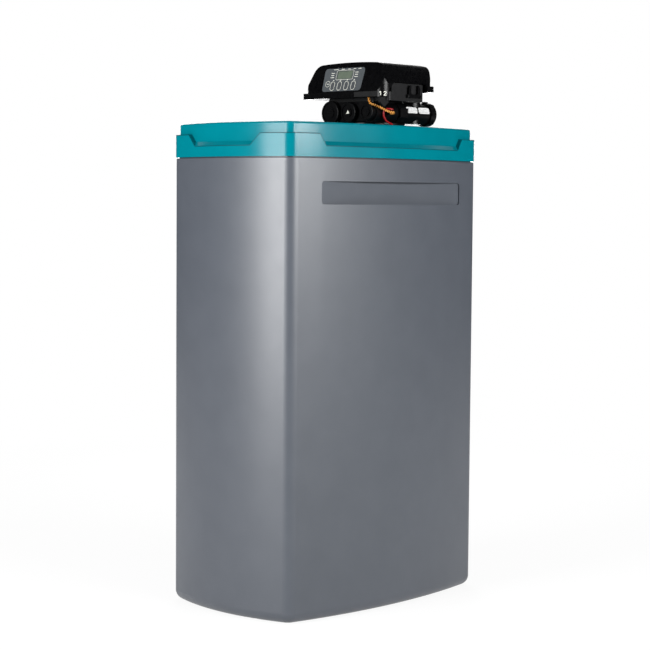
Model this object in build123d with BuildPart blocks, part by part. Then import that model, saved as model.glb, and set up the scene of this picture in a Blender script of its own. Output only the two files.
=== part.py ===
from build123d import *
import math
import os

# A cabinet water softener: a tub that holds salt and a resin tank, a cover with a salt hatch,
# and a control valve with its timer and bypass on top of the tank.
# Frame: origin on the floor under the middle of the tub, +Z up, the display faces -Y.

os.makedirs("parts", exist_ok=True)

# Shared values
overrun = 10.0            # how far a cut runs past the face that it opens
seat_gap = 0.3            # between pieces that lie against each other
running_fit = 0.05        # radial clearance of shafts, pins and plungers
half_turn = 180.0
quarter_turn = 90.0
full_turn = 360.0

# Tub
corner_width = 321.0      # corner to corner across the front
corner_depth = 525.0      # corner to corner along the side
front_bow = 30.4          # how far the front and back walls bow out
side_bow = 30.3
corner_radius = 26.5
tub_height = 859.5        # floor to shoulder
tub_wall = 4.0
tub_floor = 5.0
foot_radius = 20.0
shoulder_radius = 2.5
neck_inset = 6.0          # the neck under the cover stands in from the wall
neck_height = 21.0
recess_height = 43.0      # long flat recess in each side wall
recess_length = 394.0
recess_drop = 38.5        # shoulder to the recess's top edge
recess_depth = 19.8       # from the wall's furthest reach in to the recess's flat face
recess_corner = 6.0

# Cover
edge_gap = 6.2            # dark gap between the tub's shoulder and the cover
cover_height = 64.3
cover_wall = 3.5
cover_proud = 1.0         # the skirt stands out past the tub's wall
skirt_height = 43.3       # skirt at the corners
sill_height = 20.9        # skirt where it dips in the middle of each wall
sill_band = 7.6           # height of the slanted band over each dip
upper_inset = 7.5         # the upper part stands in from the tub's wall
cover_round = 4.4
front_dip_foot = 150.0    # length of a dip at its foot
front_dip_head = 196.0    # and at the skirt's top edge
side_dip_foot = 376.0
side_dip_head = 406.0

# Resin tank
tank_radius = 128.5
tank_wall = 4.0
tank_wall_gap = 30.4      # tank to the tub's rear wall
bottom_dome = 62.0
top_dome = 78.0
neck_radius = 43.0
neck_bore = 31.5
neck_drop = 16.0          # neck's top face under the cover's top
boot_height = 90.0
boot_wall = 3.0
resin_share = 0.62        # how much of the tank's height the resin fills
riser_radius = 13.35
riser_wall = 2.0
strainer_radius = 25.0
strainer_height = 52.0
strainer_wall = 2.5
lower_slots = 12
upper_slots = 16
air_slots = 6
upper_strainer_radius = 29.0
upper_strainer_height = 34.0

# Salt compartment
grid_height = 150.0
grid_thickness = 4.0
grid_hole_radius = 6.0
grid_pitch = 26.0
grid_columns = 8
grid_rows = 6
grid_leg_radius = 11.0
grid_edge_gap = 4.0
grid_reach = 40.0         # the grid's rear edge lies this far in front of the tank's axis
well_radius = 50.0
well_wall = 2.0
well_side_gap = 4.0       # brine well to the wall behind the recess
well_forward = 162.0      # brine well's axis in front of the tank's axis
well_top_gap = 31.0       # well's rim to the neck's rim
well_slot_width = 3.0
well_slot_height = 60.0
well_slots = 8
cap_plate = 3.0
cap_skirt = 9.0
cap_hole_gap = 1.5        # room round the brine tube in the cap's hole

# Safety float valve in the brine well
float_valve_height = 44.0
float_valve_radius = 15.0
float_valve_drop = 60.0   # under the well's rim
float_rod_radius = 3.0
float_rod_length = 470.0
float_radius = 21.0
float_height = 52.0
float_lift = 32.0
pickup_offset = 33.0
pickup_radius = 6.0
pickup_wall = 1.2
air_check_radius = 11.5
air_check_height = 48.0

# Overflow elbow in the rear wall
overflow_height = 640.0
overflow_bore = 6.5
overflow_radius = 9.5
overflow_flange_radius = 16.0
overflow_flange = 4.0
overflow_reach = 24.0
overflow_drop = 38.0
overflow_nut_thickness = 8.0
barb_rise = 1.0
barb_pitch = 6.0
barb_count = 3
nut_sides = 6

# Salt hatch in the cover
hatch_width = 220.0
hatch_length = 227.0
hatch_thickness = 4.0
hatch_corner = 14.0
hatch_edge_gap = 1.0
hatch_rear_gap = 2.0      # room for the rear edge, which swings down
hatch_forward = 51.0      # the opening's rear edge in front of the hood
hatch_ledge = 8.0
ledge_thickness = 2.8
hatch_rib_inset = 12.0
hatch_rib_height = 5.0
hatch_rib_wall = 2.0
hinge_set_in = 4.5        # hinge line in front of the hatch's rear edge
hinge_pin_radius = 2.0
hinge_boss_radius = 3.6
hinge_boss_length = 11.0
hinge_span = 164.0
hinge_side_gap = 0.6
hinge_swing_gap = 1.0     # notch in the hatch to the cover's ear
scoop_width = 50.0
scoop_length = 26.0
scoop_depth = 13.0
scoop_under = 9.0         # the hatch's edge overhangs the scoop

# Control valve
valve_rise = 10.5         # valve's underside over the cover's top
collar_radius = 65.0
collar_gap = 2.0
spigot_length = 30.0
manifold_width = 120.0
manifold_height = 42.5
manifold_round = 4.0
manifold_front = 64.0     # in front of the tank's axis
manifold_back = 20.0      # behind it
port_spread = 50.0        # each barrel's axis from the middle plane
port_rise = 21.0          # barrels' axis over the valve's underside
barrel_radius = 21.0
barrel_bore = 14.0
deck_height = 2.0
deck_left = 50.0
deck_right = 23.0
deck_front = 58.0
deck_back = 27.0

# Caps on the valve's front
cap_reach = 75.0          # front faces in front of the tank's axis
cap_neck_length = 5.0
injector_cap_radius = 23.25
screen_cap_radius = 20.0
refill_cap_radius = 17.0
cap_neck_share = 0.8
cap_rim = 3.5
cap_dish = 2.5
cap_knob_share = 0.45
cap_slot_width = 3.0

# Top plate, levers and their spring
plate_thickness = 6.0
plate_side = 4.0
lever_count = 5
lever_pitch = 14.0
lever_width = 8.0
lever_thickness = 4.0
lever_inner = 4.0         # inner end past the middle plane
lever_outer = 40.0
lever_pivot = 20.0
lever_rise = 10.5         # pivot over the top plate
lever_pin_radius = 2.0
lever_stem_radius = 4.5
lever_stem_offset = 33.0
rib_width = 4.0
rib_depth = 8.0
spring_thickness = 0.8
spring_rise = 16.0
spring_wall = 3.0
spring_finger = 6.0
screw_head_radius = 3.5
screw_head_height = 2.5
screw_radius = 2.0
screw_length = 14.0

# Camshaft and its drive
shaft_rise = 33.0         # shaft's axis over the deck
shaft_radius = 5.0
cam_radius = 9.0
cam_nose_radius = 5.0
cam_lift = 5.0
gear_module = 1.5
gear_teeth = 40
pinion_teeth = 12
gear_width = 8.0
gear_backlash = 0.4       # added to the centre distance
tip_share = 0.22          # tooth's width at its tip, of the pitch
root_share = 0.56
addendum_share = 0.9
dedendum_share = 1.2
motor_radius = 19.0
motor_length = 29.0
motor_gearbox_length = 9.0
motor_shaft_radius = 2.5
pinion_front_gap = 2.0

# Timer housing
pod_width = 200.0
pod_front = 64.0          # in front of the tank's axis
pod_back = 41.0           # behind it
pod_height = 34.5
pod_wall = 2.5
shelf_rise = 6.4          # the front shelf's underside over the housing's
pod_step = 60.0           # left of this the housing's floor is as high as the shelf
shelf_front = 84.0
shelf_top = 17.0
post_width = 18.0
post_depth = 3.0
post_head = 9.0
pod_corner = 6.0
saddle_width = 28.0
saddle_length = 20.0
saddle_height = 17.0
band_left = 32.0          # plain band that shows in the gap of the hood's rim
band_right = 94.0
band_bottom = 7.0
guide_x = 90.0            # lead guide under the shelf's right end, pointed below
guide_forward = 68.0      # its middle in front of the tank's axis
guide_width = 5.0
guide_length = 24.0
guide_flank = 10.4
guide_tip = 9.0

# Hood
hood_half_width = 105.0
hood_front = 87.0         # in front of the tank's axis
hood_back = 66.0          # behind it
hood_rim_height = 12.0
hood_rim_reach = 5.0
hood_height = 77.5        # over the valve's manifold
hood_crown = 3.4
hood_lean = 16.0
hood_lean_start = 28.0
hood_shoulder = 24.0
hood_corner = 18.0
hood_left_corner = 8.0    # the tighter corner at the front left
rim_left_corner = 4.0     # the rim's corner under it
hood_tilt = 16.5          # degrees that the front face leans back
hood_wall = 2.5
hood_tail_drop = 5.0
hood_tail_run = 32.0
hood_tail_round = 12.0
hood_front_drop = 6.0     # rim's underside over the manifold's top
hood_side_rise = 35.5     # side edge over the manifold's top
hood_back_rise = 20.0
hood_notch_front = 53.0
rim_gap = 0.4

# Display panel in the hood's front face
panel_left = 62.0
panel_right = 46.0
panel_bottom = 2.5
panel_top = 51.0
panel_lean = 3.0
panel_corner = 7.0
panel_thickness = 3.0
panel_gap = 0.4
panel_border = 2.0        # the panel's frame round its overlay
panel_sink = 0.4          # panel's face behind the hood's
overlay_thickness = 0.3
rim_cavity = 0.4          # the rim's inner face in front of the hood's face, below the window
screen_width = 40.0
screen_height = 16.0
screen_x = -7.0
screen_y = 36.5
screen_sink = 0.4
screen_gap = 0.1
button_count = 4
button_first = -35.0
button_pitch = 18.9
button_y = 13.5
button_width = 12.5
button_height = 20.0
button_proud = 0.9
button_gap = 0.3
button_flange = 1.0
button_travel = 1.0
button_stem_radius = 1.8
board_depth = 9.0         # board behind the panel's face
board_thickness = 1.6
board_height = 42.0
leg_width = 6.0
leg_spread = 47.0
leg_depth = 9.0

# Hood latch on the timer housing's right side
latch_width = 34.0
latch_height = 25.0
latch_thickness = 3.2
latch_arm = 7.0
latch_behind = 7.0        # latch's middle behind the tank's axis
latch_pin_radius = 1.5
latch_pin_rise = 10.0
latch_ear = 3.0
latch_ear_radius = 3.4

# Power socket in the timer housing's rear wall
socket_offset = 70.0
socket_radius = 5.5
socket_bore = 2.75
socket_flange_radius = 7.5
socket_flange = 1.5
socket_depth = 11.0
socket_rise = 15.0

# Meter
turbine_radius = 12.0
turbine_length = 10.0
turbine_blades = 6
turbine_blade = 1.2
turbine_hub = 3.5
turbine_shaft_radius = 1.4
meter_forward = 36.0      # meter's middle in front of the tank's axis
spider_width = 3.0
spider_gap = 4.0
probe_radius = 5.0
probe_length = 14.0
probe_head_radius = 7.0
probe_head = 6.0
boss_radius = 8.5
boss_reach = 3.0

# Drain and brine fittings
drain_forward = 12.0
drain_radius = 8.0
drain_bore = 5.0
drain_reach = 22.0
fitting_forward = 35.0
fitting_drop = 4.0        # brine fitting's axis under the barrels' axis
fitting_radius = 6.5
fitting_bore = 3.2
fitting_reach = 8.5
fitting_nut_radius = 8.5
fitting_nut_length = 10.0
tube_radius = 4.75

# Bypass
coupling_gap = 0.3
bypass_reach = 110.0      # spigots' rear end behind the tank's axis
rotor_behind = 62.0
boss_tower_radius = 17.6
cross_tube_radius = 15.0
cross_tube_bore = 9.0
rotor_radius = 15.0
rotor_port = 10.0
handle_radius = 17.0
handle_plate = 2.4
handle_ridge = 3.2
handle_ridge_width = 8.0
spigot_radius = 19.0
spigot_step = 14.0
pipe_bore = 15.1
pipe_depth = 25.0
nut_radius = 24.0
nut_length = 17.0
nut_opening = 16.5        # radius of the hole in the nut's end
nut_lugs = 8
nut_lug_width = 5.0
nut_lug_rise = 2.4
clip_length = 23.0
clip_lap = 1.2            # how far a clip reaches over the bypass
clip_band = 2.2
clip_pad_height = 18.0
clip_pad_rise = 4.0
label_length = 33.0
label_height = 13.0
label_thickness = 0.8
label_tilt = 18.0         # degrees that a label looks up
label_gap = 4.0

# Leads
bend_share = 0.45         # of the shorter run beside a bend, taken by its arc
tan_lead_radius = 2.0
red_lead_radius = 1.8

# Places that follow from the values above
front_reach = corner_depth / 2 + front_bow
side_reach = corner_width / 2 + side_bow
recess_face = side_reach - recess_depth
neck_rim = tub_height + neck_height
cover_edge = tub_height + edge_gap
cover_top = cover_edge + cover_height
tank_y = front_reach - tub_wall - tank_wall_gap - tank_radius
tank_bottom = tub_floor + boot_wall
tank_neck_top = cover_top - neck_drop
valve_base = cover_top + valve_rise
manifold_top = valve_base + manifold_height
deck_top = manifold_top + deck_height
port_z = valve_base + port_rise
plate_top = deck_top + plate_thickness
shaft_z = deck_top + shaft_rise
cap_front_y = tank_y - cap_reach
manifold_front_y = tank_y - manifold_front
manifold_back_y = tank_y + manifold_back
hood_front_y = tank_y - hood_front
hood_back_y = tank_y + hood_back
hood_bottom = manifold_top + hood_front_drop
hood_rim_top = hood_bottom + hood_rim_height
hood_side_edge = manifold_top + hood_side_rise
hood_top = manifold_top + hood_height
opening_back_y = hood_front_y - hatch_forward
hatch_back_y = opening_back_y - hatch_rear_gap
hatch_front_y = hatch_back_y - hatch_length
opening_front_y = hatch_front_y - hatch_edge_gap
hinge_y = hatch_back_y - hinge_set_in
hinge_z = cover_top - hatch_thickness
boss_face_x = port_spread + barrel_radius + boss_reach
well_x = -(recess_face - tub_wall - well_side_gap - well_radius)
well_y = tank_y - well_forward
well_top = neck_rim - well_top_gap
tilt = math.radians(hood_tilt)
face_plane = Plane(
    origin=(0, hood_front_y, hood_rim_top),
    x_dir=(1, 0, 0),
    z_dir=(0, -math.cos(tilt), math.sin(tilt)),
)
face_axis = Axis(face_plane.origin, face_plane.z_dir)
panel_plane = face_plane.offset(-panel_sink)
tank_side = Plane(origin=(0, tank_y, 0), x_dir=(1, 0, 0), z_dir=(0, -1, 0))
tank_axis = Axis((0, tank_y, 0), (0, 0, 1))


def bow_radius(chord, bow):
    """Radius of a shallow arc from its chord and its height."""
    return (chord * chord / 4 + bow * bow) / (2 * bow)


def cabinet_plan(inset, height):
    """The cabinet's plan drawn in by the inset: four shallow bows with round corners."""
    front_radius = bow_radius(corner_width, front_bow)
    side_radius = bow_radius(corner_depth, side_bow)
    with BuildSketch(Plane.XY.offset(height)) as plan:
        with Locations((0, front_radius - front_reach)):
            Circle(front_radius - inset)
        with Locations((0, front_reach - front_radius)):
            Circle(front_radius - inset, mode=Mode.INTERSECT)
        with Locations((side_radius - side_reach, 0)):
            Circle(side_radius - inset, mode=Mode.INTERSECT)
        with Locations(Location((side_reach - side_radius, 0, 0), (0, 0, half_turn))):
            Circle(side_radius - inset, mode=Mode.INTERSECT)
        fillet(plan.vertices(), corner_radius - inset)
    return plan.sketch


def dip_outline(plane, foot, head):
    """The cut that lowers the skirt in the middle of a wall."""
    low = cover_edge + sill_height
    high = cover_edge + skirt_height
    slope = (head - foot) / 2
    rise = (high - low) / slope * overrun
    with BuildSketch(plane) as outline:
        with BuildLine():
            Polyline(
                (-foot / 2, low),
                (foot / 2, low),
                (head / 2 + overrun, high + rise),
                (-head / 2 - overrun, high + rise),
                close=True,
            )
        make_face()
    return outline.sketch


def tank_form(inset):
    """The resin tank's closed form, drawn in by the inset: a barrel with two domes."""
    low = tank_bottom + bottom_dome
    high = tank_neck_top - neck_drop - top_dome
    with BuildPart() as form:
        with BuildSketch(tank_side):
            with BuildLine():
                EllipticalCenterArc(
                    (0, low),
                    tank_radius - inset,
                    bottom_dome - inset,
                    start_angle=-quarter_turn,
                    arc_size=quarter_turn,
                )
                Line((tank_radius - inset, low), (tank_radius - inset, high))
                EllipticalCenterArc(
                    (0, high),
                    tank_radius - inset,
                    top_dome - inset,
                    start_angle=0,
                    arc_size=quarter_turn,
                )
                Line((0, high + top_dome - inset), (0, low - bottom_dome + inset))
            make_face()
        revolve(axis=tank_axis)
    return form.part


def gear_outline(teeth, phase, x, z, plane):
    """A spur gear with straight-sided teeth; the phase turns it by that many degrees."""
    pitch_radius = gear_module * teeth / 2
    tip_radius = pitch_radius + gear_module * addendum_share
    root_radius = pitch_radius - gear_module * dedendum_share
    step = math.tau / teeth
    points = []
    for tooth in range(teeth):
        middle = step * tooth + math.radians(phase)
        for radius, width in (
            (root_radius, -root_share),
            (tip_radius, -tip_share),
            (tip_radius, tip_share),
            (root_radius, root_share),
        ):
            angle = middle + step * width / 2
            points.append((x + radius * math.cos(angle), z + radius * math.sin(angle)))
    with BuildSketch(plane) as outline:
        with BuildLine():
            Polyline(*points, close=True)
        make_face()
    return outline.sketch


def barbed_stem(plane, radius, length):
    """A hose stem round the plane's Y axis, with saw-tooth barbs up to its end."""
    foot = length - barb_count * barb_pitch
    points = [(0, 0), (radius, 0), (radius, foot)]
    for barb in range(barb_count):
        points.append((radius + barb_rise, foot + barb * barb_pitch))
        points.append((radius, foot + (barb + 1) * barb_pitch))
    points.append((0, length))
    with BuildPart() as stem:
        with BuildSketch(plane):
            with BuildLine():
                Polyline(*points, close=True)
            make_face()
        revolve(axis=Axis(plane.origin, plane.y_dir))
    return stem.part


def hood_form(inset):
    """The hood's outer form, drawn in by the inset: front, side and plan profiles crossed."""
    half = hood_half_width - inset
    front = hood_front_y + inset
    back = hood_back_y - inset
    foot = hood_bottom - overrun
    lean_z = hood_bottom + hood_lean_start
    brow = hood_top - hood_crown - inset
    shoulder = hood_shoulder - inset
    with BuildPart() as form:
        with BuildSketch(Plane.XZ.offset(-front + overrun)) as face:
            with BuildLine():
                Polyline(
                    (-half + hood_lean, brow),
                    (-half, lean_z),
                    (-half, foot),
                    (half, foot),
                    (half, lean_z),
                    (half - hood_lean, brow),
                )
                ThreePointArc(
                    (half - hood_lean, brow),
                    (0, hood_top - inset),
                    (-half + hood_lean, brow),
                )
            make_face()
            fillet(face.vertices().group_by(Axis.Z)[-1], shoulder)
        extrude(amount=-(back - front + 2 * overrun))
        face_rise = hood_top + overrun - hood_rim_top
        face_front = front + inset / math.cos(tilt) - inset
        with BuildSketch(Plane.YZ.offset(-half - overrun)) as side:
            with BuildLine():
                Polyline(
                    (face_front, foot),
                    (face_front, hood_rim_top),
                    (face_front + face_rise * math.tan(tilt), hood_top + overrun),
                    (back - hood_tail_run, hood_top + overrun),
                    (back - hood_tail_run, hood_top - inset),
                    (back, hood_top - hood_tail_drop - inset),
                    (back, foot),
                    close=True,
                )
            make_face()
            fillet(side.vertices().sort_by_distance(tail_corner(back, inset))[0], hood_tail_round)
        extrude(amount=2 * (half + overrun), mode=Mode.INTERSECT)
        with BuildSketch(Plane.XY.offset(foot - overrun)) as plan:
            with Locations((0, (front + back) / 2)):
                Rectangle(2 * half, back - front)
            fillet(plan.vertices().sort_by_distance((-half, front))[1:], hood_corner - inset)
            fillet(plan.vertices().sort_by_distance((-half, front))[0], hood_left_corner - inset)
        extrude(amount=hood_top - foot + 2 * overrun, mode=Mode.INTERSECT)
    return form.part


def tail_corner(back, inset):
    """The corner where the hood's top meets its rear wall."""
    return (-hood_half_width + inset - overrun, back, hood_top - hood_tail_drop - inset)


def panel_outline(plane, margin, foot):
    """The overlay's outline on a plane, grown by the margin, its lower end squared off at the foot."""
    left = panel_left + panel_lean / 2
    with BuildSketch(plane) as outline:
        with BuildLine():
            Polyline(
                (-panel_left, panel_bottom),
                (panel_right - panel_lean, panel_bottom),
                (panel_right, panel_top),
                (-left, panel_top),
                close=True,
            )
        make_face()
        fillet(outline.vertices(), panel_corner)
        if margin > 0:
            offset(amount=margin)
            with Locations(((panel_right - panel_lean - panel_left) / 2, (foot + panel_corner) / 2)):
                Rectangle(panel_left + panel_right - panel_lean + 2 * margin, panel_corner - foot)
    return outline.sketch


def face_y(height, depth):
    """Where a plane parallel to the hood's front face, that deep behind it, meets a height."""
    return hood_front_y + (height - hood_rim_top) * math.tan(tilt) + depth / math.cos(tilt)


# Cabinet tub: the body with its narrower neck, a hollow, and a recess in each side wall
recess_top = tub_height - recess_drop
recess_middle = recess_top - recess_height / 2
with BuildPart() as tub_space:
    extrude(cabinet_plan(tub_wall, tub_floor), amount=tub_height - tub_wall - tub_floor)
    fillet(tub_space.edges().group_by(Axis.Z)[0], foot_radius - tub_wall)
    inner_neck = cabinet_plan(neck_inset + tub_wall, tub_height - tub_wall - overrun)
    extrude(inner_neck, amount=neck_height + tub_wall + 2 * overrun)
    for side in (-1, 1):
        with BuildSketch(Plane.YZ.offset(side * (recess_face - tub_wall))):
            with Locations((0, recess_middle)):
                Rectangle(recess_length + 2 * tub_wall, recess_height + 2 * tub_wall)
        extrude(amount=side * (side_reach - recess_face + overrun), mode=Mode.SUBTRACT)
with BuildPart() as cabinet_tub:
    extrude(cabinet_plan(0, 0), amount=tub_height)
    fillet(cabinet_tub.edges().group_by(Axis.Z)[0], foot_radius)
    fillet(cabinet_tub.edges().group_by(Axis.Z)[-1], shoulder_radius)
    for side in (-1, 1):
        with BuildSketch(Plane.YZ.offset(side * recess_face)):
            with Locations((0, recess_middle)):
                RectangleRounded(recess_length, recess_height, recess_corner)
        extrude(amount=side * (side_reach - recess_face + overrun), mode=Mode.SUBTRACT)
    extrude(cabinet_plan(neck_inset, tub_height - tub_wall), amount=neck_height + tub_wall)
    add(tub_space.part, mode=Mode.SUBTRACT)
    with BuildSketch(Plane.XZ.offset(-front_reach - overrun)):
        with Locations((0, overflow_height)):
            Circle(overflow_radius + seat_gap)
    extrude(amount=tub_wall + 2 * overrun, mode=Mode.SUBTRACT)
cabinet_tub.part.label = "cabinet_tub"
export_step(cabinet_tub.part, "parts/cabinet_tub.step")

# Top cover: skirt with a dip in each wall, a plate with the hatch's opening and the valve's
scoop_front_y = hatch_front_y + scoop_under - scoop_length
scoop_middle_y = (scoop_front_y + hatch_front_y + scoop_under) / 2
ledge_top = cover_top - hatch_thickness - seat_gap
opening_length = opening_back_y - opening_front_y
opening_y = (opening_back_y + opening_front_y) / 2
swing_front_y = hinge_y - hinge_boss_radius - hinge_swing_gap
ear_inner_x = (hinge_span + hinge_boss_length) / 2 + hinge_side_gap
brine_hole_x = -(boss_face_x + fitting_reach)
brine_hole_y = tank_y - fitting_forward
with BuildPart() as cover_band:
    extrude(cabinet_plan(-cover_proud, cover_edge), amount=sill_height + sill_band)
    chamfer(cover_band.edges().group_by(Axis.Z)[-1], sill_band)
with BuildPart() as cover_upper:
    extrude(cabinet_plan(upper_inset, cover_edge), amount=cover_height)
    fillet(cover_upper.edges().group_by(Axis.Z)[-1], cover_round)
with BuildPart() as cover_space:
    extrude(cabinet_plan(neck_inset - seat_gap, cover_edge - overrun), amount=overrun + neck_rim - cover_edge)
    hollow = cabinet_plan(upper_inset + cover_wall, neck_rim - overrun)
    extrude(hollow, amount=cover_top - cover_wall - neck_rim + overrun)
with BuildPart() as cover_skirt:
    extrude(cabinet_plan(-cover_proud, cover_edge), amount=skirt_height)
    for turn, foot, head, reach in (
        (0, front_dip_foot, front_dip_head, corner_depth / 2),
        (quarter_turn, side_dip_foot, side_dip_head, corner_width / 2),
    ):
        for side in (0, half_turn):
            wall_plane = Plane.XZ.rotated((0, 0, turn + side)).offset(reach)
            extrude(dip_outline(wall_plane, foot, head), amount=front_bow + overrun, mode=Mode.SUBTRACT)
with BuildPart() as top_cover:
    add(cover_skirt.part)
    add(cover_band.part)
    add(cover_upper.part)
    add(cover_space.part, mode=Mode.SUBTRACT)
    # frame under the plate round the hatch, and the scoop's cup
    with BuildSketch(Plane.XY.offset(ledge_top - ledge_thickness)):
        with Locations((0, opening_y)):
            RectangleRounded(
                hatch_width + 2 * (hatch_edge_gap + cover_wall),
                opening_length + 2 * cover_wall,
                hatch_corner + cover_wall,
            )
    extrude(amount=cover_top - cover_wall - ledge_top + ledge_thickness)
    with BuildSketch(Plane.XY.offset(cover_top - scoop_depth - cover_wall)):
        with Locations((0, scoop_middle_y)):
            Rectangle(scoop_width + 2 * cover_wall, scoop_length + 2 * cover_wall)
    extrude(amount=scoop_depth)
    # pocket for the hatch's plate, and the opening inside its ledge
    with BuildSketch(Plane.XY.offset(ledge_top)):
        with Locations((0, opening_y)):
            RectangleRounded(hatch_width + 2 * hatch_edge_gap, opening_length, hatch_corner)
        with Locations((0, (swing_front_y + opening_back_y) / 2)):
            Rectangle(hatch_width + 2 * hatch_edge_gap, opening_back_y - swing_front_y)
    extrude(amount=overrun, mode=Mode.SUBTRACT)
    mouth_front_y = hatch_front_y + hatch_ledge
    with BuildSketch(Plane.XY.offset(ledge_top - ledge_thickness - overrun)):
        with Locations((0, (mouth_front_y + opening_back_y) / 2)):
            RectangleRounded(hatch_width - 2 * hatch_ledge, opening_back_y - mouth_front_y, hatch_corner)
        with Locations((0, (swing_front_y + opening_back_y) / 2)):
            Rectangle(hatch_width + 2 * hatch_edge_gap, opening_back_y - swing_front_y)
    extrude(amount=overrun + ledge_thickness, mode=Mode.SUBTRACT)
    # the cup's walls go back in where the opening cut them
    with BuildSketch(Plane.XY.offset(cover_top - scoop_depth - cover_wall)):
        with Locations((0, scoop_middle_y)):
            Rectangle(scoop_width + 2 * cover_wall, scoop_length + 2 * cover_wall)
    extrude(amount=scoop_depth + cover_wall - hatch_thickness - seat_gap)
    with BuildSketch(Plane.XY.offset(cover_top - scoop_depth)):
        with Locations((0, scoop_middle_y)):
            RectangleRounded(scoop_width, scoop_length, scoop_length / 4)
    extrude(amount=scoop_depth + overrun, mode=Mode.SUBTRACT)
    # the valve's opening and the brine tube's
    with BuildSketch(Plane.XY.offset(cover_top - cover_wall - overrun)):
        with Locations((0, tank_y)):
            Circle(collar_radius + collar_gap)
        with Locations((brine_hole_x, brine_hole_y)):
            Circle(tube_radius + seat_gap)
    extrude(amount=cover_wall + 2 * overrun, mode=Mode.SUBTRACT)
    # ears that hold the hatch's hinge pins
    for side in (-1, 1):
        with BuildSketch(Plane.YZ.offset(side * ear_inner_x)):
            with Locations((hinge_y, hinge_z)):
                Circle(hinge_boss_radius)
            with Locations(((hinge_y + opening_back_y + cover_wall / 2) / 2, hinge_z)):
                Rectangle(opening_back_y + cover_wall / 2 - hinge_y, 2 * hinge_boss_radius)
            with Locations((hinge_y, hinge_z)):
                Circle(hinge_pin_radius + running_fit, mode=Mode.SUBTRACT)
        extrude(amount=side * hinge_boss_length)
top_cover.part.label = "top_cover"
export_step(top_cover.part, "parts/top_cover.step")

# Salt hatch: a flush lid with stiffening ribs and two hinge knuckles at its rear edge
with BuildPart() as salt_hatch:
    with BuildSketch(Plane.XY.offset(cover_top - hatch_thickness)):
        with Locations((0, (hatch_front_y + hatch_back_y) / 2)):
            RectangleRounded(hatch_width, hatch_length, hatch_corner)
    extrude(amount=hatch_thickness)
    rib_front = hatch_front_y + hatch_ledge + scoop_length
    rib_back = hinge_y - hatch_rib_inset
    rib_span = hatch_width - 2 * (hatch_ledge + hatch_rib_inset)
    with BuildSketch(Plane.XY.offset(cover_top - hatch_thickness - hatch_rib_height)):
        with Locations((0, (rib_front + rib_back) / 2)):
            Rectangle(rib_span, rib_back - rib_front)
            Rectangle(
                rib_span - 2 * hatch_rib_wall,
                rib_back - rib_front - 2 * hatch_rib_wall,
                mode=Mode.SUBTRACT,
            )
            Rectangle(hatch_rib_wall, rib_back - rib_front)
    extrude(amount=hatch_rib_height)
    for side in (-1, 1):
        with BuildSketch(Plane.YZ.offset(side * (hinge_span - hinge_boss_length) / 2)):
            with Locations((hinge_y, hinge_z)):
                Circle(hinge_boss_radius)
        extrude(amount=side * hinge_boss_length)
        with BuildSketch(Plane.YZ.offset(side * (hinge_span - hinge_boss_length) / 2)):
            with Locations((hinge_y, hinge_z)):
                Circle(hinge_pin_radius + running_fit)
        extrude(amount=side * hinge_boss_length, mode=Mode.SUBTRACT)
    # notches for the cover's ears
    notch_length = hinge_boss_length + 2 * hinge_side_gap
    notch_x = ear_inner_x + hinge_boss_length / 2
    with BuildSketch(Plane.XY.offset(cover_top + overrun)):
        with Locations(
            (-notch_x, (swing_front_y + hatch_back_y + overrun) / 2),
            (notch_x, (swing_front_y + hatch_back_y + overrun) / 2),
        ):
            Rectangle(notch_length, hatch_back_y + overrun - swing_front_y)
    extrude(amount=-(hatch_thickness + 2 * overrun), mode=Mode.SUBTRACT)
salt_hatch.part.label = "salt_hatch"
export_step(salt_hatch.part, "parts/salt_hatch.step")

with BuildPart() as hatch_hinge_pins:
    for side in (-1, 1):
        with BuildSketch(Plane.YZ.offset(side * (hinge_span - hinge_boss_length) / 2)):
            with Locations((hinge_y, hinge_z)):
                Circle(hinge_pin_radius)
        extrude(amount=side * (2 * hinge_boss_length + hinge_side_gap))
hatch_hinge_pins.part.label = "hatch_hinge_pins"
export_step(hatch_hinge_pins.part, "parts/hatch_hinge_pins.step")

# Overflow elbow through the rear wall, with a hose barb that points down, and its nut inside
elbow_y = front_reach + overflow_flange + overflow_reach
with BuildPart() as overflow_elbow:
    with BuildSketch(Plane.XZ.offset(-front_reach + tub_wall + overflow_nut_thickness + 2 * seat_gap)):
        with Locations((0, overflow_height)):
            Circle(overflow_radius)
    extrude(amount=-(elbow_y - front_reach + tub_wall + overflow_nut_thickness + 2 * seat_gap))
    with BuildSketch(Plane.XZ.offset(-front_reach)):
        with Locations((0, overflow_height)):
            Circle(overflow_flange_radius)
    extrude(amount=-overflow_flange)
    with BuildSketch(Plane.XY.offset(overflow_height + overflow_radius)):
        with Locations((0, elbow_y)):
            Circle(overflow_radius)
    extrude(amount=-overflow_radius)
    elbow_plane = Plane(origin=(0, elbow_y, overflow_height), x_dir=(1, 0, 0), z_dir=(0, 1, 0))
    add(barbed_stem(elbow_plane, overflow_radius, overflow_drop))
    with BuildSketch(Plane.XZ.offset(-front_reach + tub_wall + overflow_nut_thickness + overrun)):
        with Locations((0, overflow_height)):
            Circle(overflow_bore)
    extrude(amount=-(elbow_y - front_reach + tub_wall + overflow_nut_thickness + overrun), mode=Mode.SUBTRACT)
    with BuildSketch(Plane.XY.offset(overflow_height)):
        with Locations((0, elbow_y)):
            Circle(overflow_bore)
    extrude(amount=-(overflow_drop + overrun), mode=Mode.SUBTRACT)
overflow_elbow.part.label = "overflow_elbow"
export_step(overflow_elbow.part, "parts/overflow_elbow.step")

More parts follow.
